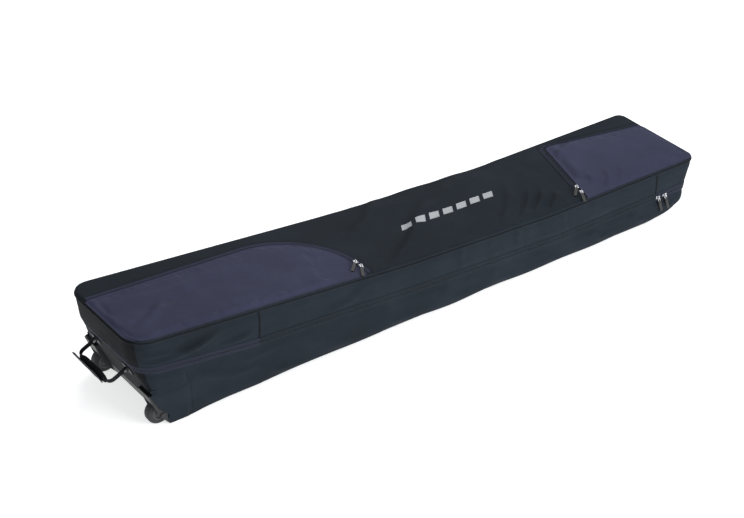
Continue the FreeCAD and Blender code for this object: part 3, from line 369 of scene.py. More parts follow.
def emboss(material, height, strength, distance, **under):
    """A bump map, over another one if its normal is given."""
    node = link(material, "ShaderNodeBump", Strength=strength, Distance=distance, Height=height, **under)
    return node.outputs["Normal"]


def cloth_finish(name, colour, light, pitch=0.0013, bump=0.25, roughness=0.72, sheen=0.05, crease=0.4):
    """Woven cloth: crossed yarns, flecks, soft blotches of darker and lighter tone and fine creases."""
    material = shader(name, colour, roughness, specular=0.10, sheen=sheen)
    place = place_of(material)
    yarns = bands(material, place, "X", pitch)
    for direction in ("Y", "Z"):
        yarns = combine(material, "ADD", yarns, bands(material, place, direction, pitch))
    blotch = noise(material, place, 5.5, 5.0, 0.6)
    fleck = noise(material, place, 900.0, 2.0, 0.7)
    crumple = noise(material, place, 38.0, 4.0, 0.5)
    mixed = combine(material, "ADD", scaled(material, blotch, 0.62), scaled(material, fleck, 0.38))
    dark = tuple(c * 0.78 for c in colour)
    wire(material, ramp(material, mixed, ((0.30, dark), (0.5, colour), (0.74, light))), "Base Color")
    vary_roughness(material, blotch, roughness - 0.09, roughness + 0.1)
    height = combine(material, "ADD", scaled(material, yarns, 0.34), scaled(material, fleck, 0.5))
    fine = emboss(material, height, bump, 0.0003)
    wire(material, emboss(material, crumple, crease, 0.0024, Normal=fine), "Normal")
    return material


def moulded_finish(name, colour, roughness=0.48, grain=1400.0, bump=0.2, wear=1.6):
    """Moulded plastic or rubber: fine grain and lighter scuffs."""
    material = shader(name, colour, roughness, specular=0.45)
    place = place_of(material)
    pits = noise(material, place, grain, 2.0, 0.6)
    scuff = noise(material, place, 46.0, 6.0, 0.68)
    light = tuple(min(1.0, c * wear + 0.004) for c in colour)
    wire(material, ramp(material, scuff, ((0.35, colour), (0.62, colour), (0.8, light))), "Base Color")
    vary_roughness(material, scuff, roughness - 0.1, roughness + 0.14)
    wire(material, emboss(material, pits, bump, 0.0003), "Normal")
    return material


def metal_finish(name, colour, roughness):
    """Plated metal with a brushed, slightly worn surface."""
    material = shader(name, colour, roughness, metallic=1.0)
    place = place_of(material)
    streak = noise(material, place, 620.0, 4.0, 0.7)
    tarnish = noise(material, place, 90.0, 4.0, 0.6)
    dull = tuple(c * 0.62 for c in colour)
    wire(material, ramp(material, tarnish, ((0.3, dull), (0.55, colour))), "Base Color")
    vary_roughness(material, streak, roughness - 0.08, roughness + 0.16)
    wire(material, emboss(material, streak, 0.12, 0.0002), "Normal")
    return material


SLATE = cloth_finish("slate_cloth", (0.0118, 0.0172, 0.0240), (0.022, 0.029, 0.038))
# Darker cloth as painted shade: on the wheel end's faces, turned away from the key light, and in the gusset
# seams' folds.
SHADE_CLOTH = cloth_finish("end_painted_shade_cloth", (0.0050, 0.0065, 0.0085), (0.010, 0.0125, 0.0155), sheen=0.03)
VIOLET = cloth_finish("violet_cloth", (0.040, 0.044, 0.082), (0.058, 0.063, 0.110), bump=0.3, sheen=0.10)
LINING = cloth_finish(
    "lining", (0.030, 0.031, 0.034), (0.042, 0.043, 0.048), pitch=0.0022, sheen=0.1, crease=0.5
)
VIOLET_TAPE = cloth_finish(
    "violet_tape", (0.034, 0.037, 0.068), (0.048, 0.052, 0.090), pitch=0.0009, crease=0.1
)
BAND_TAPE = cloth_finish("band_tape", (0.018, 0.022, 0.036), (0.028, 0.034, 0.053), pitch=0.0009, crease=0.1)
WEBBING = cloth_finish(
    "webbing", (0.012, 0.014, 0.017), (0.022, 0.024, 0.028), pitch=0.0026, bump=0.6, crease=0.1
)
GRIP_CLOTH = cloth_finish("grip_cloth", (0.011, 0.013, 0.016), (0.020, 0.023, 0.027), pitch=0.002, crease=0.4)
PIPING = cloth_finish("piping_cloth", (0.010, 0.012, 0.016), (0.018, 0.021, 0.026), pitch=0.001, crease=0.1)
FOAM = cloth_finish(
    "foam_cloth", (0.050, 0.051, 0.054), (0.07, 0.07, 0.075), pitch=0.003, bump=0.5, sheen=0.1
)
THREAD = moulded_finish("thread", (0.030, 0.036, 0.048), 0.6, 2600.0, 0.3)
COIL = moulded_finish("coil", (0.010, 0.012, 0.017), 0.34, 2400.0, 0.1)
MOULDED = moulded_finish("moulded", (0.014, 0.015, 0.017), 0.46)
PALE_MOULDED = moulded_finish("buckle_plastic", (0.02, 0.021, 0.023), 0.38)
TREAD = moulded_finish("tread", (0.022, 0.023, 0.025), 0.62, 900.0, 0.4)
CORE = moulded_finish("wheel_core", (0.055, 0.058, 0.063), 0.42)
BUSH = moulded_finish("bush", (0.42, 0.42, 0.4), 0.4, wear=1.1)
PULL = moulded_finish("pull_rubber", (0.012, 0.012, 0.013), 0.5, 1800.0, 0.3)
BOARD = moulded_finish("board", (0.06, 0.062, 0.065), 0.55, 500.0, 0.4)
NICKEL = metal_finish("nickel", (0.74, 0.75, 0.77), 0.24)
STEEL = metal_finish("steel", (0.36, 0.37, 0.39), 0.36)
PRINT = moulded_finish("silver_print", (0.42, 0.44, 0.46), 0.5, 1700.0, 0.25, wear=1.25)


# ---- making pieces


def new_piece(name, points, faces, materials, kinds=None):
    """A mesh object from arrays. kinds is the material number of each face."""
    mesh = bpy.data.meshes.new(name)
    mesh.from_pydata(np.asarray(points).tolist(), [], [list(map(int, f)) for f in faces])
    for material in materials:
        mesh.materials.append(material)
    if kinds is not None:
        mesh.polygons.foreach_set("material_index", np.asarray(kinds, np.int32))
    mesh.polygons.foreach_set("use_smooth", np.full(len(mesh.polygons), True))
    mesh.validate()
    mesh.update()
    piece = bpy.data.objects.new(name, mesh)
    bpy.context.scene.collection.objects.link(piece)
    return piece


def settle(piece, body, slot, *nodes):
    """Puts a finished piece on its body and lets it stand for CAD nodes, which it hides; the slot is not
    used.
    """
    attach(piece, body)
    if nodes:
        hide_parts(*nodes)


def thick_grid(name, upper, lower, materials):
    """A closed solid between two grids of points with the same layout, whose lower side takes material 1."""
    rows, columns = upper.shape[:2]
    count = rows * columns
    index = np.arange(count).reshape(rows, columns)
    faces = [grid_faces(index), grid_faces(index + count)[:, ::-1]]
    for line in (index[:, 0][::-1], index[:, -1], index[0], index[-1][::-1]):
        border = np.stack((line[:-1], line[1:], line[1:] + count, line[:-1] + count), -1)
        faces.append(border[:, ::-1])
    points = np.concatenate((upper.reshape(-1, 3), lower.reshape(-1, 3)))
    faces = np.concatenate(faces)
    if signed_volume(points, faces) < 0:
        faces = faces[:, ::-1]
    kinds = np.zeros(len(faces), int)
    one_side = (rows - 1) * (columns - 1)
    if len(materials) > 1:
        kinds[one_side : 2 * one_side] = 1
    return new_piece(name, points, faces, materials, kinds)


def signed_volume(points, faces):
    """Six times a closed mesh's volume, negative where its faces look inwards."""
    p = points[faces]
    first = np.einsum("ij,ij->i", p[:, 0], np.cross(p[:, 1], p[:, 2]))
    return float((first + np.einsum("ij,ij->i", p[:, 0], np.cross(p[:, 2], p[:, 3]))).sum())


def ribbon(name, path, normals, widths, thickness, material, crown=0.0):
    """A flat strap along a path: widths are half widths, across the path and its normals."""
    path = np.asarray(path, float)
    normals = np.asarray(normals, float)
    across = unit(np.cross(unit(np.gradient(path, axis=0)), normals))
    shares = np.linspace(-1, 1, 9)
    lift = thickness / 2 * (1 - 0.5 * abs(shares) ** 6) + crown * (1 - shares**2)
    spread = across[:, None] * (shares[None, :, None] * np.asarray(widths)[:, None, None])
    upper = path[:, None] + spread + normals[:, None] * lift[None, :, None]
    lower = path[:, None] + spread - normals[:, None] * (thickness - lift)[None, :, None]
    return thick_grid(name, upper, lower, [material])


def blocks(name, centres, ahead, up, size, material):
    """Many small rounded bars of size (length, width, height) in one mesh, such as stitches or zip teeth."""
    ahead = unit(ahead)
    up = unit(np.broadcast_to(up, centres.shape).astype(float))
    across = np.cross(up, ahead)
    ring = [(-1, -0.5, 0), (-1, 0.5, 0), (0, -1, 0), (0, 1, 0), (1, -0.5, 0), (1, 0.5, 0)]
    base = np.array([(x, y, -1) for x, y, _ in ring] + [(x * 0.8, y * 0.62, 1) for x, y, _ in ring], float)
    base *= np.array(size) / 2
    points = (
        centres[:, None]
        + ahead[:, None] * base[None, :, :1]
        + across[:, None] * base[None, :, 1:2]
        + up[:, None] * base[None, :, 2:]
    )
    order = (0, 2, 4, 5, 3, 1)
    shape = [[6 + i for i in order], list(reversed(order))]
    shape += [[i, j, j + 6, i + 6] for i, j in zip(order, order[1:] + order[:1])]
    faces = [[12 * k + i for i in face] for k in range(len(centres)) for face in shape]
    return new_piece(name, points.reshape(-1, 3), faces, [material])


def sew(name, path, up, body, slot, step=0.0052, length=0.0034, lift=0.0):
    """A row of stitches along a path. Without an up direction they face out of the wall."""
    spots, ahead = evenly(path, step)
    out = np.cross(ahead, (0, 0, 1)) if up is None else np.array(up, float)
    size = (length, THREAD_WIDTH, THREAD_WIDTH)
    settle(blocks(name, spots + unit(out) * lift, ahead, out, size, THREAD), body, slot)


# ---- pocket outlines


def plane_at(run, height, turn):
    """The frame of a sloping top, whose local X runs down the bag."""
    return Matrix.Translation((START + run, 0, height)) @ Matrix.Rotation(turn, 4, "Y")


def top_plane(start, end):
    """The plane of the lid's top between two marks of its line."""
    return plane_at(*start, math.atan2(start[1] - end[1], end[0] - start[0]))


NEAR_TOP = top_plane(*TOP_LINE[:2])
FAR_TOP = top_plane(*TOP_LINE[2:])
# In a top plane: the pockets' front edge, the fillet of a sharp corner and the flaps' folding lines.
POCKET_FRONT = -0.155
SHARP = 0.001
NEAR_FLAP = ((0.290, 0.107), (0.712, -0.064))
FAR_FLAP = ((0.130, -0.072), (0.380, 0.152))


def in_plane(plane, flat, height=0.0):
    """World points of flat (x, y) points at a height over a sloping top."""
    matrix = np.array(plane)
    flat = np.asarray(flat, float)
    local = np.concatenate((flat, np.broadcast_to(height, flat.shape[:-1])[..., None]), -1)
    return local @ matrix[:3, :3].T + matrix[:3, 3]


def near_corners(edge, band):
    """The wheel-end pocket's corners and fillets: edge insets its sewn sides and band its zipped ones."""
    return (
        ((0.010 + edge, POCKET_FRONT + edge), 0.045 - edge),
        ((0.730 - band, POCKET_FRONT + edge), SHARP),
        ((0.730 - band, 0.133 - band), 0.229 - band),
        ((0.010 + edge, 0.089 - band), SHARP),
    )


def far_corners(edge, band):
    """The far pocket's corners and fillets, in the same order round."""
    return (
        ((0.553 - edge, POCKET_FRONT + edge), 0.018 - edge / 2),
        ((0.128 + band, POCKET_FRONT + edge), SHARP),
        ((0.215 + band, 0.152 - band), 0.032 - band / 2),
        ((0.553 - edge, 0.084 - band), 0.018 - edge / 2),
    )


def corner_arc(corners, i, count=13):
    """Points of one rounded corner, from the side before it to the side after it."""
    here, radius = corners[i]
    here = np.array(here)
    before = unit(np.array(corners[i - 1][0]) - here)
    after = unit(np.array(corners[(i + 1) % len(corners)][0]) - here)
    half = math.acos(float(np.clip(before @ after, -1, 1))) / 2
    reach = radius / math.tan(half)
    centre = here + unit(before + after) * radius / math.sin(half)
    first, last = here + before * reach - centre, here + after * reach - centre
    turn = math.atan2(first[0] * last[1] - first[1] * last[0], first @ last)
    angles = np.linspace(0, turn, count)
    aside = np.array((-first[1], first[0]))
    return centre + first * np.cos(angles)[:, None] + aside * np.sin(angles)[:, None]


def outline_sides(corners, counts):
    """The four sides of a rounded outline, each from mid-corner to mid-corner."""
    arcs = [corner_arc(corners, i) for i in range(4)]
    sides = []
    for i in range(4):
        following = arcs[(i + 1) % 4]
        side = np.concatenate((arcs[i][len(arcs[i]) // 2 :], following[: len(following) // 2 + 1]))
        sides.append(resampled(side, counts[i % 2]))
    return sides


def patch(corners, counts):
    """A grid of flat points that fills a rounded outline."""
    bottom, right, top, left = outline_sides(corners, counts)
    top, left = top[::-1], left[::-1]
    u = np.linspace(0, 1, counts[0])[:, None, None]
    v = np.linspace(0, 1, counts[1])[None, :, None]
    rows = bottom[:, None] * (1 - v) + top[:, None] * v
    columns = left[None] * (1 - u) + right[None] * u
    low_ends = bottom[0] * (1 - u) + bottom[-1] * u
    high_ends = top[0] * (1 - u) + top[-1] * u
    return rows + columns - low_ends * (1 - v) - high_ends * v


def zip_line(corners_of, band):
    """The open path along a pocket's zipped sides, at a distance in from its outline."""
    corners = corners_of(0.0, band)
    return np.concatenate(([corners[1][0]], corner_arc(corners, 2, 41), [corners[3][0]]))


def inside_depth(flat, corners):
    """How far points lie inside a rounded outline, negative outside."""
    outline = np.concatenate([side[:-1] for side in outline_sides(corners, (60, 40))])
    following = np.roll(outline, -1, axis=0)
    if np.sum(outline[:, 0] * following[:, 1] - following[:, 0] * outline[:, 1]) < 0:
        outline, following = following[::-1], outline[::-1]
    nearest = np.full(flat.shape[:-1], 9.0)
    inside = np.zeros(flat.shape[:-1], bool)
    for a, b in zip(outline, following):
        span = b - a
        t = np.clip(((flat - a) @ span) / (span @ span), 0, 1)
        nearest = np.minimum(nearest, np.linalg.norm(flat - a - t[..., None] * span, axis=-1))
        crosses = (a[1] > flat[..., 1]) != (b[1] > flat[..., 1])
        rise = span[1] if span[1] else 1e-12
        inside ^= crosses & (flat[..., 0] < a[0] + (flat[..., 1] - a[1]) / rise * span[0])
    return np.where(inside, nearest, -nearest)


# ---- tub and lid

# Folds as (start, end, width, height): on the lid's top in run and side, on the walls in run and height.
LID_FOLDS = (
    ((0.800, -0.150), (1.010, 0.020), 0.016, 0.0030),
    ((0.770, 0.020), (0.960, 0.150), 0.018, 0.0026),
    ((1.290, -0.145), (1.395, -0.060), 0.010, 0.0030),
    ((1.240, -0.150), (1.370, -0.030), 0.012, 0.0026),
    ((1.180, -0.140), (1.330, 0.020), 0.014, 0.0020),
    ((1.350, -0.150), (1.425, -0.090), 0.009, 0.0026),
    ((1.010, 0.020), (1.200, 0.120), 0.020, 0.0022),
    ((0.860, -0.060), (1.080, 0.060), 0.022, 0.0016),
)
GUSSET_FOLDS = (
    ((0.020, 0.196), (0.250, 0.222), 0.009, 0.0062),
    ((0.035, 0.232), (0.170, 0.206), 0.007, 0.0042),
    ((0.100, 0.186), (0.330, 0.176), 0.008, 0.0034),
    ((0.230, 0.170), (0.345, 0.182), 0.009, 0.0022),
    ((0.560, 0.135), (0.700, 0.185), 0.014, 0.0022),
    ((1.010, 0.180), (1.040, 0.110), 0.011, 0.0026),
    ((1.110, 0.178), (1.150, 0.105), 0.013, 0.0026),
    ((1.210, 0.172), (1.235, 0.100), 0.011, 0.0030),
    ((1.300, 0.172), (1.340, 0.100), 0.010, 0.0026),
    ((1.380, 0.170), (1.400, 0.100), 0.009, 0.0022),
    ((1.480, 0.165), (1.560, 0.110), 0.014, 0.0018),
)
TUB_FOLDS = (
    ((0.129, 0.137), (0.372, 0.066), 0.011, 0.0042),
    ((0.372, 0.066), (0.483, 0.009), 0.013, 0.0036),
    ((0.170, 0.120), (0.430, 0.112), 0.012, 0.0024),
    ((0.520, 0.100), (0.640, 0.020), 0.018, 0.0028),
    ((0.740, 0.090), (0.830, 0.015), 0.018, 0.0028),
    ((0.950, 0.080), (1.020, 0.012), 0.016, 0.0030),
    ((1.120, 0.078), (1.180, 0.010), 0.015, 0.0026),
    ((1.300, 0.075), (1.350, 0.010), 0.014, 0.0026),
    ((1.480, 0.075), (1.560, 0.015), 0.015, 0.0030),
    ((1.640, 0.080), (1.700, 0.020), 0.013, 0.0026),
    ((1.745, 0.070), (1.830, 0.045), 0.010, 0.0030),
)


def flat_of(plane, points):
    """The (x, y) of world points in a sloping top's own frame."""
    matrix = np.array(plane.inverted())
    return (points @ matrix[:3, :3].T + matrix[:3, 3])[..., :2]


def tray_drop(points, plane, corners_of):
    """How far the lid's cloth sinks under a pocket's panel: a shallow seat, then the pocket's hollow."""
    flat = flat_of(plane, points)
    seat = ease(inside_depth(flat, corners_of(0.0, 0.0)), -0.0006, 0.0022)
    under_drape = ease(inside_depth(flat, corners_of(-0.0068, 0.0)), -0.0006, 0.0010)
    hollow = ease(inside_depth(flat, corners_of(0.004, 0.026)), -0.001, 0.009)
    return 0.0014 * under_drape + 0.0022 * seat + 0.0114 * hollow, hollow


WALL_CREASING = 1.6
LID_CREASING = 2.2


def lid_crown(points, run):
    """The lid's soft top between its pockets: fullness, folds and a slow wander."""
    flat = np.stack((run, points[..., 1]), -1)
    free = 1 - ease(abs(points[..., 1]), 0.095, 0.158)
    between = window(run, 0.745, 0.84, 1.40, 1.452)
    wander = 0.0013 * drift(points, 0.16, SEED)
    creased = LID_CREASING * folds(flat, LID_FOLDS) * window(run, 0.735, 0.79, 1.43, 1.452)
    return (0.0042 * free + wander) * between + creased


def wall_relief(points, run, lines, size, seed, fullness):
    """Outward relief of a wall: fullness, folds on its long sides and a slow wander, none at the zip."""
    flat = np.stack((run, points[..., 2]), -1)
    long_side = window(run, -0.02, 0.03, LENGTH - 0.09, LENGTH - 0.04)
    creased = WALL_CREASING * folds(flat, lines) * long_side
    gap = abs(points[..., 2] - parting_height(run, points[..., 1]))
    at_front = ease(-points[..., 1], HALF - 0.040, HALF - 0.008)
    loose = 0.3 + 0.7 * at_front
    return loose * (fullness + creased + 0.0011 * drift(points, size, seed)) * ease(gap, 0.012, 0.032)


def gusset_relief(points, run):
    """The relief of the lid's walls, none along the piping."""
    relief = wall_relief(points, run, GUSSET_FOLDS, 0.11, SEED + 1, 0.0028)
    return relief * ease(top_height(run) - points[..., 2], 0.013, 0.034)


def lid_dress(points, normals, run, on_cap):
    """The lid's skin and lining: a crowned top, seats and hollows for its pockets and a soft gusset."""
    outer = np.where(on_cap, lid_crown(points, run), gusset_relief(points, run))
    drops = [tray_drop(points, NEAR_TOP, near_corners), tray_drop(points, FAR_TOP, far_corners)]
    drop = sum(d for d, _ in drops) * on_cap
    hollow = sum(h for _, h in drops) * on_cap
    skin = points + normals * outer[:, None]
    lining = points + normals * (np.clip(outer, -0.001, 0.003) - WALL)[:, None]
    skin[:, 2] -= drop
    lining[:, 2] -= 0.0140 * hollow
    return skin, lining


def tub_relief(points, run):
    """The tub wall's relief, calm where the wall steps over the wheel housings."""
    step = 1 - hump(run, NEAR_FADE, 0.014) * ease(points[..., 2], 0.095, 0.110)
    calm = ease(points[..., 2], 0.004, 0.035) * step
    return wall_relief(points, run, TUB_FOLDS, 0.13, SEED + 2, 0.0026) * calm


def over_guard(points):
    """Whether the tub's cloth lies over the moulded guard plate."""
    under = (points[:, 0] < START + GUARD_END) & (abs(points[:, 1]) < GUARD_SIDE)
    return under & (points[:, 2] < GUARD_TOP)


def tub_dress(points, normals, run, on_cap):
    """The tub's skin and lining: folded walls, a flat bottom with an uneven edge and room for the guard."""
    low = np.clip(points[:, 2], 0, 1)
    relief = np.where(on_cap, 0, tub_relief(points, run))
    skin = points + normals * relief[:, None]
    lining = points + normals * (np.clip(relief, -0.001, 0.002) - WALL)[:, None]
    edge = ease(abs(points[:, 1]), HALF - 0.034, HALF - 0.004) * (1 - ease(low, 0.012, 0.05))
    uneven = 0.0040 + 0.0038 * np.clip(drift(points * (1, 0, 0), 0.24, SEED + 3), -1, 1)
    skin[:, 2] += uneven * edge * ease(run, NEAR_FADE, NEAR_FADE + 0.05)
    guarded = over_guard(points)
    for layer in (skin, lining):
        layer[guarded & on_cap, 2] += GUARD_DEPTH
        layer[guarded & ~on_cap, 0] += GUARD_DEPTH
    return skin, lining


def painted_shade_kind(centres, normals):
    """Material 1, the darker cloth of painted shade, on faces turned to the wheel end; 0 elsewhere."""
    return np.where((normals[:, 0] < -0.72) & (centres[:, 0] < START + 0.2), 1, 0)


def shell(name, cap_of, way, edge_of, dress, extra_runs, extra_sides, levels, materials):
    """A soft box open on one side: a cap grid and rows of wall, skin and lining joined at the open rim."""
    edges = [BOTTOM_EDGE * k / 4 for k in range(5)]
    beside = [k - HALF for k in edges] + [HALF - k for k in edges]
    runs = lines_between(0, LENGTH, SHELL_STEP, (*edges, *(LENGTH - k for k in edges), *extra_runs))
    sides = lines_between(-HALF, HALF, SHELL_STEP, (*beside, *extra_sides))
    run, side = (a.reshape(-1) for a in np.meshgrid(runs, sides, indexing="ij"))
    index = np.arange(len(run)).reshape(len(runs), len(sides))
    loop = np.concatenate((index[:-1, 0], index[-1, :-1], index[:0:-1, -1], index[0, :0:-1]))
    height, edge = cap_of(run, side), edge_of(run, side)
    cap = on_form(run, side, np.zeros_like(run), height, way, edge)
    gap = LID_GAP if way < 0 else 0
    whole = (parting_height(run[loop], side[loop]) + gap - height[loop]) * way
    depths = [np.minimum(edge[loop] * k / 3, whole * 0.5) for k in (1, 2, 3)]
    depths += [depths[2] + (whole - depths[2]) * k / levels for k in range(1, levels + 1)]
    walls = [on_form(run[loop], side[loop], depth, height[loop], way, edge[loop]) for depth in depths]
    points = np.concatenate((cap, *walls))
    rings = [loop] + [len(cap) + k * len(loop) + np.arange(len(loop)) for k in range(len(depths))]
    rings = np.array([np.append(row, row[0]) for row in rings])
    cap_faces, ring_faces = grid_faces(index), grid_faces(rings.T)
    rim = rings[-1]
    total = len(points)
    strip = np.stack((rim[:-1], rim[1:], rim[1:] + total, rim[:-1] + total), -1)
    if way > 0:
        cap_faces = cap_faces[:, ::-1]
    else:
        ring_faces, strip = ring_faces[:, ::-1], strip[:, ::-1]
    faces = np.concatenate((cap_faces, ring_faces))
    normals = normals_of(points, faces)
    runs_of = np.concatenate((run, np.tile(run[loop], len(depths))))
    skin, lining = dress(points, normals, runs_of, np.arange(total) < len(cap))
    # Faces turned to the wheel end take the darker cloth, painted shade for that side.
    kinds = painted_shade_kind(points[faces].mean(axis=1), normals[faces].mean(axis=1))
    kinds = np.concatenate((kinds, np.full(len(faces) + len(strip), 2)))
    everything = np.concatenate((faces, faces[:, ::-1] + total, strip))
    return new_piece(name, np.concatenate((skin, lining)), everything, materials, kinds)


def in_housing(run, side):
    """Whether a place on the tub's bottom is over a wheel housing."""
    return (run < NEAR_FADE - 0.0002) & (abs(side) > HOUSING_SIDE)


def tub_cap(run, side):
    """The height of the tub's bottom, stepped up over the wheel housings."""
    return np.where(in_housing(run, side), HOUSING_TOP, bottom_height(run))


def tub_edge(run, side):
    """The radius of the tub's bottom edge, tight at the wheel end."""
    tight = 0.004
    along = tight + (BOTTOM_EDGE - tight) * ease(run, 0.16, 0.27)
    return np.where(in_housing(run, side), tight / 2, along)


tub = shell(
    "tub_soft",
    tub_cap,
    1,
    tub_edge,
    tub_dress,
    (NEAR_FADE - 0.0005, NEAR_FADE, GUARD_END - STEP_SIDE, GUARD_END + STEP_SIDE),
    [way * HOUSING_SIDE + shift for way in (-1, 1) for shift in (-STEP_SIDE, STEP_SIDE)],
    18,
    [SLATE, SHADE_CLOTH, LINING],
)
settle(tub, "tub", "shell_fabric", "tub_shell")

lid = shell(
    "lid_soft",
    lambda run, side: top_height(run),
    -1,
    lambda run, side: np.full_like(run, TOP_EDGE),
    lid_dress,
    ZIP_SEAMS,
    (),
    16,
    [SLATE, SHADE_CLOTH, LINING],
)
settle(lid, "lid", "shell_fabric", "lid_shell")


# ---- zips, piping and seams


def wall_loop(end_side, step=0.004):
    """Places on the square outline: from one end's end_side, along the front, to the other's."""
    near = lines_between(-HALF, end_side, step)[::-1]
    front = lines_between(0, LENGTH, step)
    far = lines_between(-HALF, end_side, step)
    run = np.concatenate((np.zeros(len(near)), front[1:], np.full(len(far) - 1, LENGTH)))
    side = np.concatenate((near, np.full(len(front) - 1, -HALF), far[1:]))
    return run, side


def outward_at(run, side, height):
    """Points of the wall and its outward directions, square to the loop's path and to the vertical."""
    here = wall_at(run, side, height)
    return here, unit(np.cross(np.gradient(here, axis=0), (0, 0, 1)))


def wall_strip(name, levels, bulges):
    """A band on the walls. levels are heights over the parting and bulges are how far each stands out."""
    run, side = wall_loop(ZIP_END_SIDE)
    parting = parting_height(run, side)
    upper, lower = [], []
    for level, bulge in zip(levels, bulges):
        here, outward = outward_at(run, side, parting + level)
        upper.append(here + outward * bulge)
        lower.append(here + outward * STRIP_BACK)
    piece = thick_grid(name, np.stack(upper, 1), np.stack(lower, 1), [SLATE, BAND_TAPE])
    for polygon in piece.data.polygons:
        polygon.material_index = int(zip_is_bare(polygon.center.x))
    return piece


def zip_is_bare(x):
    """Whether the zip's tape shows at an X, as it does near both ends."""
    run = x - START
    return (run < ZIP_SEAMS[0]) | (run > ZIP_SEAMS[1])


BAND = 0.0112
lower_levels = (-BAND, -BAND + 0.0008, -0.0060, -0.0022, -0.0012, -0.0004)
upper_levels = tuple(LID_GAP - level for level in reversed(lower_levels))
bulges = (0.0006, 0.0011, 0.0012, 0.0016, 0.0012, 0.0002)
lower_zip = wall_strip("main_zip_lower_tape", lower_levels, bulges)
upper_zip = wall_strip("main_zip_upper_tape", upper_levels, bulges[::-1])
settle(lower_zip, "tub", "zip_tape", "main_zip_lower")
settle(upper_zip, "lid", "zip_tape", "main_zip_upper")


def beside_parting(shift, stand, short):
    """A path beside the parting, raised by shift, standing out, and short of the tape's ends."""
    run, side = wall_loop(ZIP_END_SIDE - short, 0.006)
    here, outward = outward_at(run, side, parting_height(run, side) + shift)
    return here + outward * stand


for body, sign in (("tub", -1), ("lid", 1)):
    spots, ahead = evenly(beside_parting(LID_GAP / 2 + sign * 0.0010, 0.0009, 0.002), 0.0032)
    out = np.cross(ahead, (0, 0, 1))
    size = (0.0016, 0.0021, 0.0011)
    teeth = blocks(f"main_zip_coil_{body}", spots, np.cross(out, ahead), out, size, COIL)
    settle(teeth, body, "zip_coil")
    sew(f"main_zip_stitches_{body}", beside_parting(sign * 0.0088, 0.0012, 0.003), None, body, "zip_tape")


def closed_tube(index):
    """An array of vertex numbers with its first column repeated at the end."""
    return np.concatenate((index, index[:, :1]), axis=1)


def piping(step=0.005, depth=0.0108, points_round=8):
    """The corded piping right round the lid's top edge, and a row of stitches above and below it."""
    run, side = wall_loop(HALF, step)
    back = lines_between(0, LENGTH, step)[::-1]
    run = np.concatenate((run, back[1:-1]))
    side = np.concatenate((side, np.full(len(back) - 2, HALF)))
    height = top_height(run)
    spine = on_form(run, side, np.full_like(run, depth), height, -1, TOP_EDGE)
    ahead = unit(np.roll(spine, -1, axis=0) - np.roll(spine, 1, axis=0))
    outward = np.cross(ahead, (0, 0, 1))
    rise = np.cross(outward, ahead)
    angles = np.linspace(0, 2 * math.pi, points_round + 1)[:-1]
    cord_ring = (
        spine[:, None]
        + outward[:, None] * (0.0007 + 0.0016 * np.cos(angles))[None, :, None]
        + rise[:, None] * (0.0017 * np.sin(angles))[None, :, None]
    )
    index = np.arange(len(spine) * points_round).reshape(len(spine), points_round)
    faces = grid_faces(closed_tube(np.concatenate((index, index[:1]))))
    cord = new_piece("lid_piping_cord", cord_ring.reshape(-1, 3), faces, [PIPING])
    settle(cord, "lid", "piping", "lid_piping")
    for offset, tag in ((0.0062, "top"), (-0.0046, "side")):
        line = on_form(run, side, np.full_like(run, depth - offset), height, -1, TOP_EDGE)
        sew(f"piping_stitches_{tag}", line, None, "lid", "shell_fabric", length=0.0033, lift=0.0003)


piping()


# ---- pockets


def simulate(piece, free, cap, pressure=3.0, shrink=-0.03, frames=20):
    """Swells a closed piece as cloth for a moment, moving each free point by at most cap."""
    group = piece.vertex_groups.new(name="held")
    for number, share in enumerate(free):
        if share < 1:
            group.add([number], 1 - float(share), "REPLACE")
    before = np.array([v.co for v in piece.data.vertices])
    cloth = piece.modifiers.new("cloth", "CLOTH")
    values = {
        "vertex_group_mass": "held", "use_pressure": True, "uniform_pressure_force": pressure,
        "shrink_min": shrink, "quality": 5, "tension_stiffness": 8, "bending_stiffness": 0.25, "mass": 0.25,
    }
    for key, value in values.items():
        setattr(cloth.settings, key, value)
    cloth.settings.effector_weights.gravity = 0
    cloth.collision_settings.use_collision = False
    scene = bpy.context.scene
    for step in range(1, frames + 1):
        scene.frame_set(step)
    solved = piece.evaluated_get(bpy.context.evaluated_depsgraph_get())
    after = np.array([v.co for v in solved.data.vertices])
    piece.modifiers.remove(cloth)
    piece.vertex_groups.remove(group)
    scene.frame_set(1)
    move = (after - before) * np.asarray(free)[:, None]
    length = np.linalg.norm(move, axis=1, keepdims=True)
    move *= cap * np.tanh(length / cap) / np.maximum(length, 1e-9)
    piece.data.vertices.foreach_set("co", (before + move).reshape(-1).astype(np.float32))
    piece.data.update()


def near_relief(flat):
    """The wheel-end panel's ridge along its front edge and its soft swells."""
    x, y = flat[..., 0], flat[..., 1]
    ridge = hump(y, -0.148, 0.0075) * window(x, 0.03, 0.10, 0.60, 0.67)
    trough = hump(y, -0.131, 0.010) * window(x, 0.04, 0.12, 0.58, 0.66)
    end_ridge = hump(x, 0.014, 0.008) * window(y, -0.10, -0.04, 0.05, 0.08)
    lines = (
        ((0.05, -0.06), (0.30, -0.035), 0.014, 0.0016),
        ((0.10, 0.01), (0.42, 0.045), 0.018, 0.0014),
        ((0.34, -0.09), (0.56, -0.07), 0.014, 0.0014),
        ((0.05, -0.11), (0.17, -0.03), 0.012, 0.0018),
    )
    return 0.0058 * ridge - 0.0010 * trough + 0.0026 * end_ridge + 1.8 * folds(flat, lines)


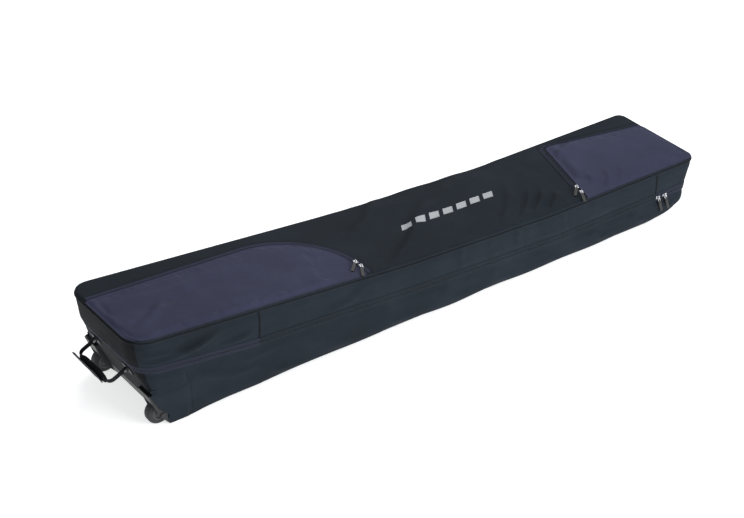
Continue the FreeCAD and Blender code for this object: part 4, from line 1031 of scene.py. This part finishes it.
def far_relief(flat):
    """The far panel's fullness, the creases at its zipped front corner and its soft swells."""
    x, y = flat[..., 0], flat[..., 1]
    lines = (
        ((0.190, -0.150), (0.225, -0.060), 0.008, 0.0024),
        ((0.230, -0.152), (0.285, -0.080), 0.009, 0.0022),
        ((0.285, -0.152), (0.330, -0.095), 0.010, 0.0016),
        ((0.200, 0.060), (0.330, 0.115), 0.012, 0.0016),
        ((0.260, -0.02), (0.420, 0.04), 0.016, 0.0014),
    )
    zipped = 0.180 + (y - POCKET_FRONT) * 0.283
    brow = hump(x, zipped, 0.014) * ease(y, -0.085, -0.02)
    return 0.0036 * brow + 1.5 * folds(flat, lines)


def lid_outline(end, other, corner):
    """The lid's corners in a top plane: rounded at the bag's end, sharp where the plane goes on."""
    return (((end, -HALF), corner), ((other, -HALF), SHARP), ((other, HALF), SHARP), ((end, HALF), corner))


Pocket = namedtuple("Pocket", "name plane corners lid relief quiet counts fullness chord tape hem")
POCKETS = (
    Pocket(
        name="near",
        plane=NEAR_TOP,
        corners=near_corners,
        lid=lid_outline(0, 1.1, NEAR_CORNER),
        relief=near_relief,
        quiet=((0.700, -0.125), 0.075),
        counts=(122, 44),
        fullness=0.0022,
        chord=NEAR_FLAP,
        tape=VIOLET_TAPE,
        hem=0.0012,
    ),
    Pocket(
        name="far",
        plane=FAR_TOP,
        corners=far_corners,
        lid=lid_outline(0.563, -0.4, FAR_CORNER),
        relief=far_relief,
        quiet=((0.150, -0.135), 0.045),
        counts=(74, 50),
        fullness=0.0048,
        chord=FAR_FLAP,
        tape=BAND_TAPE,
        hem=0.0024,
    ),
)
DRAPE = 0.0080
PANEL_BAND = 0.0186
PANEL_SEAT = 0.0026
# A pocket's zip tape and the hem over its outer edge, as (inset from the outline, height) across them.
TAPE_SECTION = (
    (0.0006, -0.0010), (0.0022, -0.0002), (0.0060, -0.0004), (0.0106, -0.0008), (0.0118, -0.0007),
    (0.0124, -0.0012), (0.0136, -0.0012), (0.0142, -0.0007), (0.0154, -0.0008), (0.0192, -0.0014),
)
HEM_ENDS = ((-0.0022, -0.0006), (0.0030, -0.0004))
HEM_CROWN = ((-0.0012, 0.8), (0.0004, 1.0), (0.0018, 0.7))


def panel(pocket):
    """A pocket's panel: one padded sheet, swollen as cloth between its seams."""
    plane = pocket.plane
    corners = pocket.corners(-DRAPE, PANEL_BAND)
    flat = patch(corners, pocket.counts)
    depth = inside_depth(flat, corners)
    near_edge = np.clip(TOP_EDGE - inside_depth(flat, pocket.lid), 0, TOP_EDGE)
    drop = TOP_EDGE - np.sqrt(TOP_EDGE**2 - near_edge**2)
    seated = ease(inside_depth(flat, pocket.corners(0, 0)), 0.0005, 0.0030)
    rim = ease(depth, 0.0, 0.016)
    spot, reach = pocket.quiet
    calm = ease(np.linalg.norm(flat - np.array(spot), axis=-1), reach, reach + 0.05)
    crown = pocket.fullness * ease(depth, 0.0, 0.075) * calm
    wander = 0.0007 * drift(in_plane(plane, flat), 0.12, SEED + 5)
    relief = (pocket.relief(flat) + wander) * rim * calm
    thin = 0.0008 * (1 - ease(depth, 0.0, 0.002)) * (1 - seated)
    upper = in_plane(plane, flat, crown + relief - drop + 0.0010 - thin)
    lower = in_plane(plane, flat, (0.0001 - drop) * (1 - seated) - PANEL_SEAT * seated)
    piece = thick_grid(f"{pocket.name}_panel_soft", upper, lower, [VIOLET, LINING])
    free = np.concatenate(((rim * calm).reshape(-1), np.zeros(depth.size)))
    simulate(piece, free, 0.0035)
    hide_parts(f"{pocket.name}_pocket_panel", f"{pocket.name}_pocket_flap")
    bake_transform(piece)


def flat_ribbon(name, pocket, section, material, foot):
    """A strip along a pocket's zipped sides, from a section of (inset, height) and the level of its foot."""
    paths = [(resampled(zip_line(pocket.corners, band), STRIP_POINTS), height) for band, height in section]
    upper = np.stack([in_plane(pocket.plane, path, height) for path, height in paths], 1)
    lower = np.stack([in_plane(pocket.plane, path, foot) for path, _ in paths], 1)
    return thick_grid(name, upper, lower, [material])


def pocket_zip(pocket):
    """A pocket's zip: its tape, a hem of cloth over the outer edge, two rows of teeth and the stitches."""
    name = pocket.name
    tape = flat_ribbon(f"{name}_zip_tape_soft", pocket, TAPE_SECTION, pocket.tape, -0.0028)
    settle(tape, "lid", "zip_tape", f"{name}_zip_tape")
    crown = [(band, pocket.hem * share) for band, share in HEM_CROWN]
    section = (HEM_ENDS[0], *crown, HEM_ENDS[1])
    hem = flat_ribbon(f"{name}_zip_hem", pocket, section, SLATE, -0.0009)
    settle(hem, "lid", "shell_fabric")
    up = np.array(pocket.plane)[:3, 2]

    def line(band, height):
        """The path in space at an inset from the pocket's zipped outline."""
        return in_plane(pocket.plane, zip_line(pocket.corners, band), height)

    for tag, band, nodes in (("outer", 0.0122, (f"{name}_zip_coil",)), ("inner", 0.0138, ())):
        spots, ahead = evenly(line(band, -0.0006), 0.0027)
        size = (0.0021, 0.0014, 0.0011)
        teeth = blocks(f"{name}_zip_coil_{tag}", spots, np.cross(ahead, up), up, size, COIL)
        settle(teeth, "lid", "zip_coil", *nodes)
    for tag, band, height in (("hem", 0.0056, -0.0001), ("tape", 0.0172, -0.0006)):
        path = line(band, height)
        sew(f"{name}_{tag}_stitches", path, up, "lid", "zip_tape", step=0.0050, length=0.0033)


for pocket in POCKETS:
    panel(pocket)
for pocket in POCKETS:
    pocket_zip(pocket)


# ---- hinge strip, corner cloth and seams

HINGE_ENDS = (0.0745, 1.8185)


def hinge_strip():
    """The strip of cloth that joins tub and lid along the back, bending between them."""
    run = lines_between(*HINGE_ENDS, 0.008)
    shares = np.linspace(-1, 1, 13)
    meeting = through(BACK_PARTING, run)
    height = meeting[:, None] + LID_GAP / 2 + 0.0158 * shares[None]
    bow = 0.0008 + 0.0007 * (1 - shares**2) - 0.0005 * hump(shares, 0, 0.14)
    x = np.broadcast_to(START + run[:, None], height.shape)
    upper = np.stack((x, np.broadcast_to(HALF + bow, height.shape), height), -1)
    lower = upper.copy()
    lower[..., 1] = HALF + STRIP_BACK
    strip = thick_grid("hinge_strip", upper, lower, [BAND_TAPE])
    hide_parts("hinge_tape_lower", "hinge_tape_upper")
    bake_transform(strip)
    for body, sign in (("tub", -1), ("lid", 1)):
        side = np.full_like(run, HALF + 0.0011)
        line = np.stack((START + run, side, meeting + sign * 0.0130), -1)
        sew(f"hinge_stitches_{body}", line, (0, 1, 0), body, "zip_tape")


hinge_strip()


def corner_cloth(name, sign):
    """The cloth over a wheel housing's outer cheek, from its sloping edge back under the tub's wall."""
    heights = np.linspace(0.0030, 0.1180, 36)[None]
    edge = np.interp(heights, (0.001, 0.105), (0.0925, 0.0385)) + 0.0020
    edge = edge + 0.0105 * hump(heights, 0.034, 0.0125)
    edge = np.where(heights > HOUSING_TOP, np.maximum(edge, through(NEAR_LEAN, heights) + 0.0006), edge)
    share = np.linspace(0, 1, 36)[:, None]
    run = edge + (NEAR_FADE + 0.008 - edge) * share
    height = np.broadcast_to(heights, run.shape)
    lean_here = through(NEAR_LEAN, height)
    upright_run = np.clip((run - lean_here) / (1 - lean_here / NEAR_FADE), 0, None)
    flat_run = np.where(run > NEAR_FADE, run, upright_run)
    rounded = wall_at(flat_run.ravel(), np.full(run.size, -HALF), height.ravel()).reshape(*run.shape, 3)
    upon = ease(height, 0.1065, 0.1120)
    place = np.stack((START + run, -HALF + (rounded[..., 1] + HALF) * upon, height), -1)
    relief = tub_relief(place, flat_run)
    covering = (1 - ease(run, NEAR_FADE - 0.0082, NEAR_FADE - 0.0006)) * (1 - ease(height, 0.0970, 0.1056))
    turned_in = 1 - ease(share, 0.0, 0.05)
    relief = np.where((run < NEAR_FADE) & (height < HOUSING_TOP), np.maximum(relief, 0.0), relief)
    stand = relief + 0.0003 + 0.0024 * covering - 0.0018 * turned_in * covering
    upper, lower = place.copy(), place.copy()
    upper[..., 1] -= stand
    lower[..., 1] -= np.maximum(stand - 0.0016, np.minimum(relief, 0.0))
    for layer in (upper, lower):
        layer[..., 1] *= -sign
    settle(thick_grid(name, upper, lower, [SLATE, LINING]), "tub", "shell_fabric")


corner_cloth("corner_cloth_front", -1)
corner_cloth("corner_cloth_back", 1)


def wall_seam(name, run, low, high):
    """An upright seam on the lid's front wall: a narrow sewn fold in the darker cloth, painted shade along
    the fold, with stitches beside it.
    """
    heights = lines_between(low, high, 0.004)
    runs = np.full_like(heights, run)
    here = wall_at(runs, np.full_like(heights, -HALF), heights)
    here[:, 1] -= gusset_relief(here, runs) + 0.0001
    normal = np.tile((0.0, -1.0, 0.0), (len(here), 1))
    # The fold takes the darker cloth: painted shade in the seam.
    fold = ribbon(name, here, normal, np.full(len(here), 0.0026), 0.0011, SHADE_CLOTH, 0.0004)
    settle(fold, "lid", "shell_fabric")
    sew(f"{name}_stitches", here + np.array((0.0046, -0.0001, 0)), (0, -1, 0), "lid", "shell_fabric")


for number, run in enumerate(ZIP_SEAMS):
    low, high = through(FRONT_PARTING, run) + 0.0125, top_height(run) - 0.0145
    wall_seam(f"gusset_seam_{number}", run, low, high)


# ---- the plain dashes printed on the lid

DASHES = 7
DASH_START = (0.922, -0.026)
DASH_STEP = (0.050, 0.003)
DASH_SIZE = (0.034, 0.027)
DASH_SLANT = 0.016


def dash(number):
    """One slanted dash of print, laid on the lid's soft top."""
    u, v = np.meshgrid(np.linspace(0, 1, 12), np.linspace(0, 1, 12), indexing="ij")
    run = DASH_START[0] + DASH_STEP[0] * number + DASH_SIZE[0] * u + DASH_SLANT * v
    side = DASH_START[1] + DASH_STEP[1] * number + DASH_SIZE[1] * v
    upper = on_form(run, side, np.zeros_like(run), top_height(run), -1, TOP_EDGE)
    upper[..., 2] += lid_crown(upper, run)
    lower = upper.copy()
    upper[..., 2] += 0.0008
    lower[..., 2] -= 0.0006
    settle(thick_grid(f"dash_{number}", upper, lower, [PRINT]), "lid", "shell_fabric")


for number in range(DASHES):
    dash(number)


# ---- handle

HANDLE_TILT = math.radians(155)
STRAP_REACH = 0.0505
STRAP_SPAN = 0.080
STRAP_BEND = 0.0165
STRAP_END = 0.0058
GRIP_HALF = (0.0088, 0.0615, 0.0155)
CUFF_ENDS = (-0.061, 0.081)

pivot = Vector(next(j for j in frame["joints"] if j["name"] == "handle_swing")["pos_m"])
HANDLE = np.array(Matrix.Translation(pivot) @ Matrix.Rotation(HANDLE_TILT, 4, "Y"))


def turned(vectors):
    """World directions from the handle's own, whose X runs away from the bag and Z across the webbing."""
    return np.asarray(vectors, float) @ HANDLE[:3, :3].T


def in_handle(points):
    """World points from the handle's own."""
    return turned(points) + HANDLE[:3, 3]


def handle_webbing():
    """A flat loop of webbing, narrowed and rounded at its two riveted ends."""
    corner = STRAP_REACH - STRAP_BEND
    half = [(x, -STRAP_SPAN) for x in np.linspace(-0.005, corner, 14)[:-1]]
    for a in np.linspace(0, math.pi / 2, 9):
        half.append((corner + STRAP_BEND * math.sin(a), STRAP_BEND - STRAP_SPAN - STRAP_BEND * math.cos(a)))
    half += [(STRAP_REACH, y) for y in np.linspace(STRAP_BEND - STRAP_SPAN, 0, 12)[1:]]
    loop = np.array(half + [(x, -y) for x, y in reversed(half[:-1])])
    ahead = unit(np.gradient(loop, axis=0))
    level = np.zeros(len(loop))
    normal = np.stack((ahead[:, 1], -ahead[:, 0], level), -1)
    widths = STRAP_END + 0.0058 * ease(loop[:, 0], 0.011, 0.026)
    widths = np.minimum(widths, np.sqrt(STRAP_END**2 - np.minimum(loop[:, 0], 0) ** 2))
    path = np.stack((loop[:, 0], loop[:, 1], level), -1)
    strap = ribbon("handle_webbing", in_handle(path), turned(normal), widths, 0.0026, WEBBING, 0.0002)
    settle(strap, "handle", "webbing", "handle_strap")


def flattened(values):
    """A circle's sine or cosine with its sides pressed towards a square."""
    return np.sign(values) * abs(values) ** 0.72


def handle_grip():
    """The padded sleeve round the webbing, swollen between two pinched ends, with a seam along it."""
    around = np.linspace(0, 2 * math.pi, 37)[:-1]
    lengthwise = np.linspace(-1, 1, 61)
    swell = (1 - 0.45 * abs(lengthwise) ** 5) * (1 - 0.055 * hump(abs(lengthwise), 0.86, 0.03))
    seam = 0.0012 * hump(around, math.pi, 0.12)
    x = STRAP_REACH + GRIP_HALF[0] * swell[:, None] * flattened(np.cos(around)) + seam
    y = np.broadcast_to(GRIP_HALF[1] * lengthwise[:, None], x.shape)
    z = GRIP_HALF[2] * swell[:, None] * flattened(np.sin(around))
    index = np.arange(x.size).reshape(x.shape)
    faces = grid_faces(closed_tube(index)).tolist()
    faces += [index[0].tolist(), index[-1][::-1].tolist()]
    points = in_handle(np.stack((x, y, z), -1).reshape(-1, 3))
    grip = new_piece("handle_grip_soft", points, faces, [GRIP_CLOTH])
    settle(grip, "handle", "grip_fabric", "handle_grip")
    free = np.repeat(ease(1 - abs(lengthwise), 0.02, 0.2), len(around))
    simulate(grip, free, 0.0009, pressure=1.5, shrink=-0.02)


def handle_cuff():
    """The cuff strip along the grip's outer side, with a tapered tail."""
    y = np.linspace(*CUFF_ENDS, 40)
    x = 0.0607 - 0.0007 * np.sin(np.linspace(0, 3 * math.pi, len(y))) ** 2
    path = np.stack((x, y, np.full_like(y, -0.011)), -1)
    width = 0.0165 * (1 - 0.75 * ease(y, 0.060, CUFF_ENDS[1])) * ease(y, -0.070, -0.055) + 0.0004
    normal = turned(np.tile((1.0, 0, 0), (len(y), 1)))
    cuff = ribbon("handle_cuff_strap", in_handle(path), normal, width, 0.0022, WEBBING)
    settle(cuff, "handle", "webbing", "handle_cuff")


handle_webbing()
handle_grip()
handle_cuff()


# ---- inside the tub


def base_pad(step=0.012, edge=0.012, foot=0.0006):
    """The foam pad: flat, lightly quilted, with round edges."""
    low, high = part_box("base_foam")
    xs = lines_between(low[0], high[0], step)
    ys = lines_between(low[1], high[1], step)
    x, y = np.meshgrid(xs, ys, indexing="ij")
    inset = np.minimum(np.minimum(x - low[0], high[0] - x), np.minimum(y - low[1], high[1] - y))
    full = np.sqrt(np.clip(1 - (1 - np.clip(inset / edge, 0, 1)) ** 2, 0, 1))
    quilt = 0.0009 * (np.cos(x * 2 * math.pi / 0.13) + np.cos(y * 2 * math.pi / 0.096))
    top = low[2] + foot + (high[2] - low[2] - foot + np.minimum(quilt, 0)) * full
    upper = np.stack((x, y, top), -1)
    lower = np.stack((x, y, np.full_like(x, low[2])), -1)
    pad = thick_grid("base_pad", upper, lower, [FOAM])
    settle(pad, "tub", "foam", "base_foam")


TIE_SIDE = 0.1568
TIE_BEND = 0.008
TIE_HALF_WIDTH = 0.019


def tie_section(floor, top):
    """Webbing across the foam and up both walls, as (y, z) from one end to the other."""
    bend = TIE_SIDE - TIE_BEND
    half = [(y, floor) for y in np.linspace(0, bend, 14)[:-1]]
    for a in np.linspace(0, math.pi / 2, 7):
        half.append((bend + TIE_BEND * math.sin(a), floor + TIE_BEND - TIE_BEND * math.cos(a)))
    wall_foot = floor + TIE_BEND
    half += [(TIE_SIDE + 0.0012 * share, wall_foot + (top - wall_foot) * share) for share in (0.33, 0.66, 1)]
    return np.array([(-y, z) for y, z in reversed(half[1:])] + half)


def tie_webbing():
    """The two tie-down straps."""
    low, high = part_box("tie_straps")
    section = tie_section(low.z + 0.0010, high.z)
    places = (low.x + TIE_HALF_WIDTH, ("tie_straps",)), (high.x - TIE_HALF_WIDTH, ())
    for number, (centre, nodes) in enumerate(places):
        path = np.column_stack((np.full(len(section), centre), section))
        normal = unit(np.cross(np.gradient(path, axis=0), (-1, 0, 0)))
        normal *= np.sign(normal[len(normal) // 2, 2])
        widths = np.full(len(path), TIE_HALF_WIDTH - 0.0002)
        tie = ribbon(f"tie_webbing_{number}", path, normal, widths, 0.0016, WEBBING, 0.0003)
        settle(tie, "tub", "webbing", *nodes)


base_pad()
tie_webbing()


# ---- carried-over CAD pieces


def finish_node(node, material):
    """A CAD node keeps its shape and takes a finished material."""
    mesh = frame["nodes"][node].data
    mesh.materials.clear()
    mesh.materials.append(material)
    for polygon in mesh.polygons:
        polygon.material_index = 0


ZIPS = ("main_near", "main_far", "near_upper", "near_lower", "far_upper", "far_lower")
FINISHES = {
    MOULDED: (
        "wheel_housing_front", "wheel_housing_back", "base_guard", "handle_anchors", "axle_front", "axle_back"
    ),
    PALE_MOULDED: ("tie_buckles",),
    STEEL: ("housing_rivets",),
    NICKEL: ("handle_rivets", *(f"{z}_{part}" for part in ("slider", "pull_ring") for z in ZIPS)),
    PULL: tuple(f"{z}_pull_grip" for z in ZIPS),
    TREAD: ("wheel_front_tyre", "wheel_back_tyre"),
    CORE: ("wheel_front_hub", "wheel_back_hub"),
    BUSH: ("wheel_front_bush", "wheel_back_bush"),
    BOARD: ("base_board",),
}
for material, names in FINISHES.items():
    for name in names:
        finish_node(name, material)


# ---- floor, light and camera

FLOOR_REACH = 14
FLOOR_DROP = -0.0002
square = [(x * FLOOR_REACH, y * FLOOR_REACH, FLOOR_DROP) for x, y in ((-1, -1), (1, -1), (1, 1), (-1, 1))]
floor_mesh = bpy.data.meshes.new("floor")
floor_mesh.from_pydata(square, [], [(0, 1, 2, 3)])
floor = bpy.data.objects.new("floor", floor_mesh)
bpy.context.scene.collection.objects.link(floor)
paper = shader("floor_paper", (0.93, 0.93, 0.935), 0.9, specular=0.1)
surface(paper).inputs["Emission Color"].default_value = (1, 1, 1, 1)
surface(paper).inputs["Emission Strength"].default_value = 0.66
floor_mesh.materials.append(paper)

BAG_MIDDLE = (0, 0, 0.1)
world = bpy.data.worlds.new("studio")
world.use_nodes = True
sky = world.node_tree.nodes["Background"].inputs
sky["Color"].default_value = (0.96, 0.98, 1.0, 1)
sky["Strength"].default_value = 0.36
bpy.context.scene.world = world


def softbox(name, spot, size, power):
    """A rectangular soft light that faces the bag."""
    light = bpy.data.lights.new(name, "AREA")
    light.shape = "RECTANGLE"
    light.size, light.size_y = size
    light.energy = power
    lamp = bpy.data.objects.new(name, light)
    lamp.location = spot
    lamp.rotation_euler = (Vector(BAG_MIDDLE) - Vector(spot)).to_track_quat("-Z", "Y").to_euler()
    bpy.context.scene.collection.objects.link(lamp)


softbox("key", (1.1, -4.0, 1.55), (2.6, 1.2), 125)
softbox("top", (1.2, 1.4, 2.9), (2.0, 1.2), 52)

camera_data = bpy.data.cameras.new("camera")
camera_data.lens = 93.1
camera_data.sensor_width = 36
camera_data.clip_end = 60
camera = bpy.data.objects.new("camera", camera_data)
camera.location = (-2.6968, -3.6058, 2.9458)
camera.rotation_euler = (math.radians(90 - 32.33), 0, math.radians(-35.87))
bpy.context.scene.collection.objects.link(camera)
bpy.context.scene.camera = camera
bpy.context.scene.view_settings.view_transform = "Standard"

bpy.context.view_layer.update()
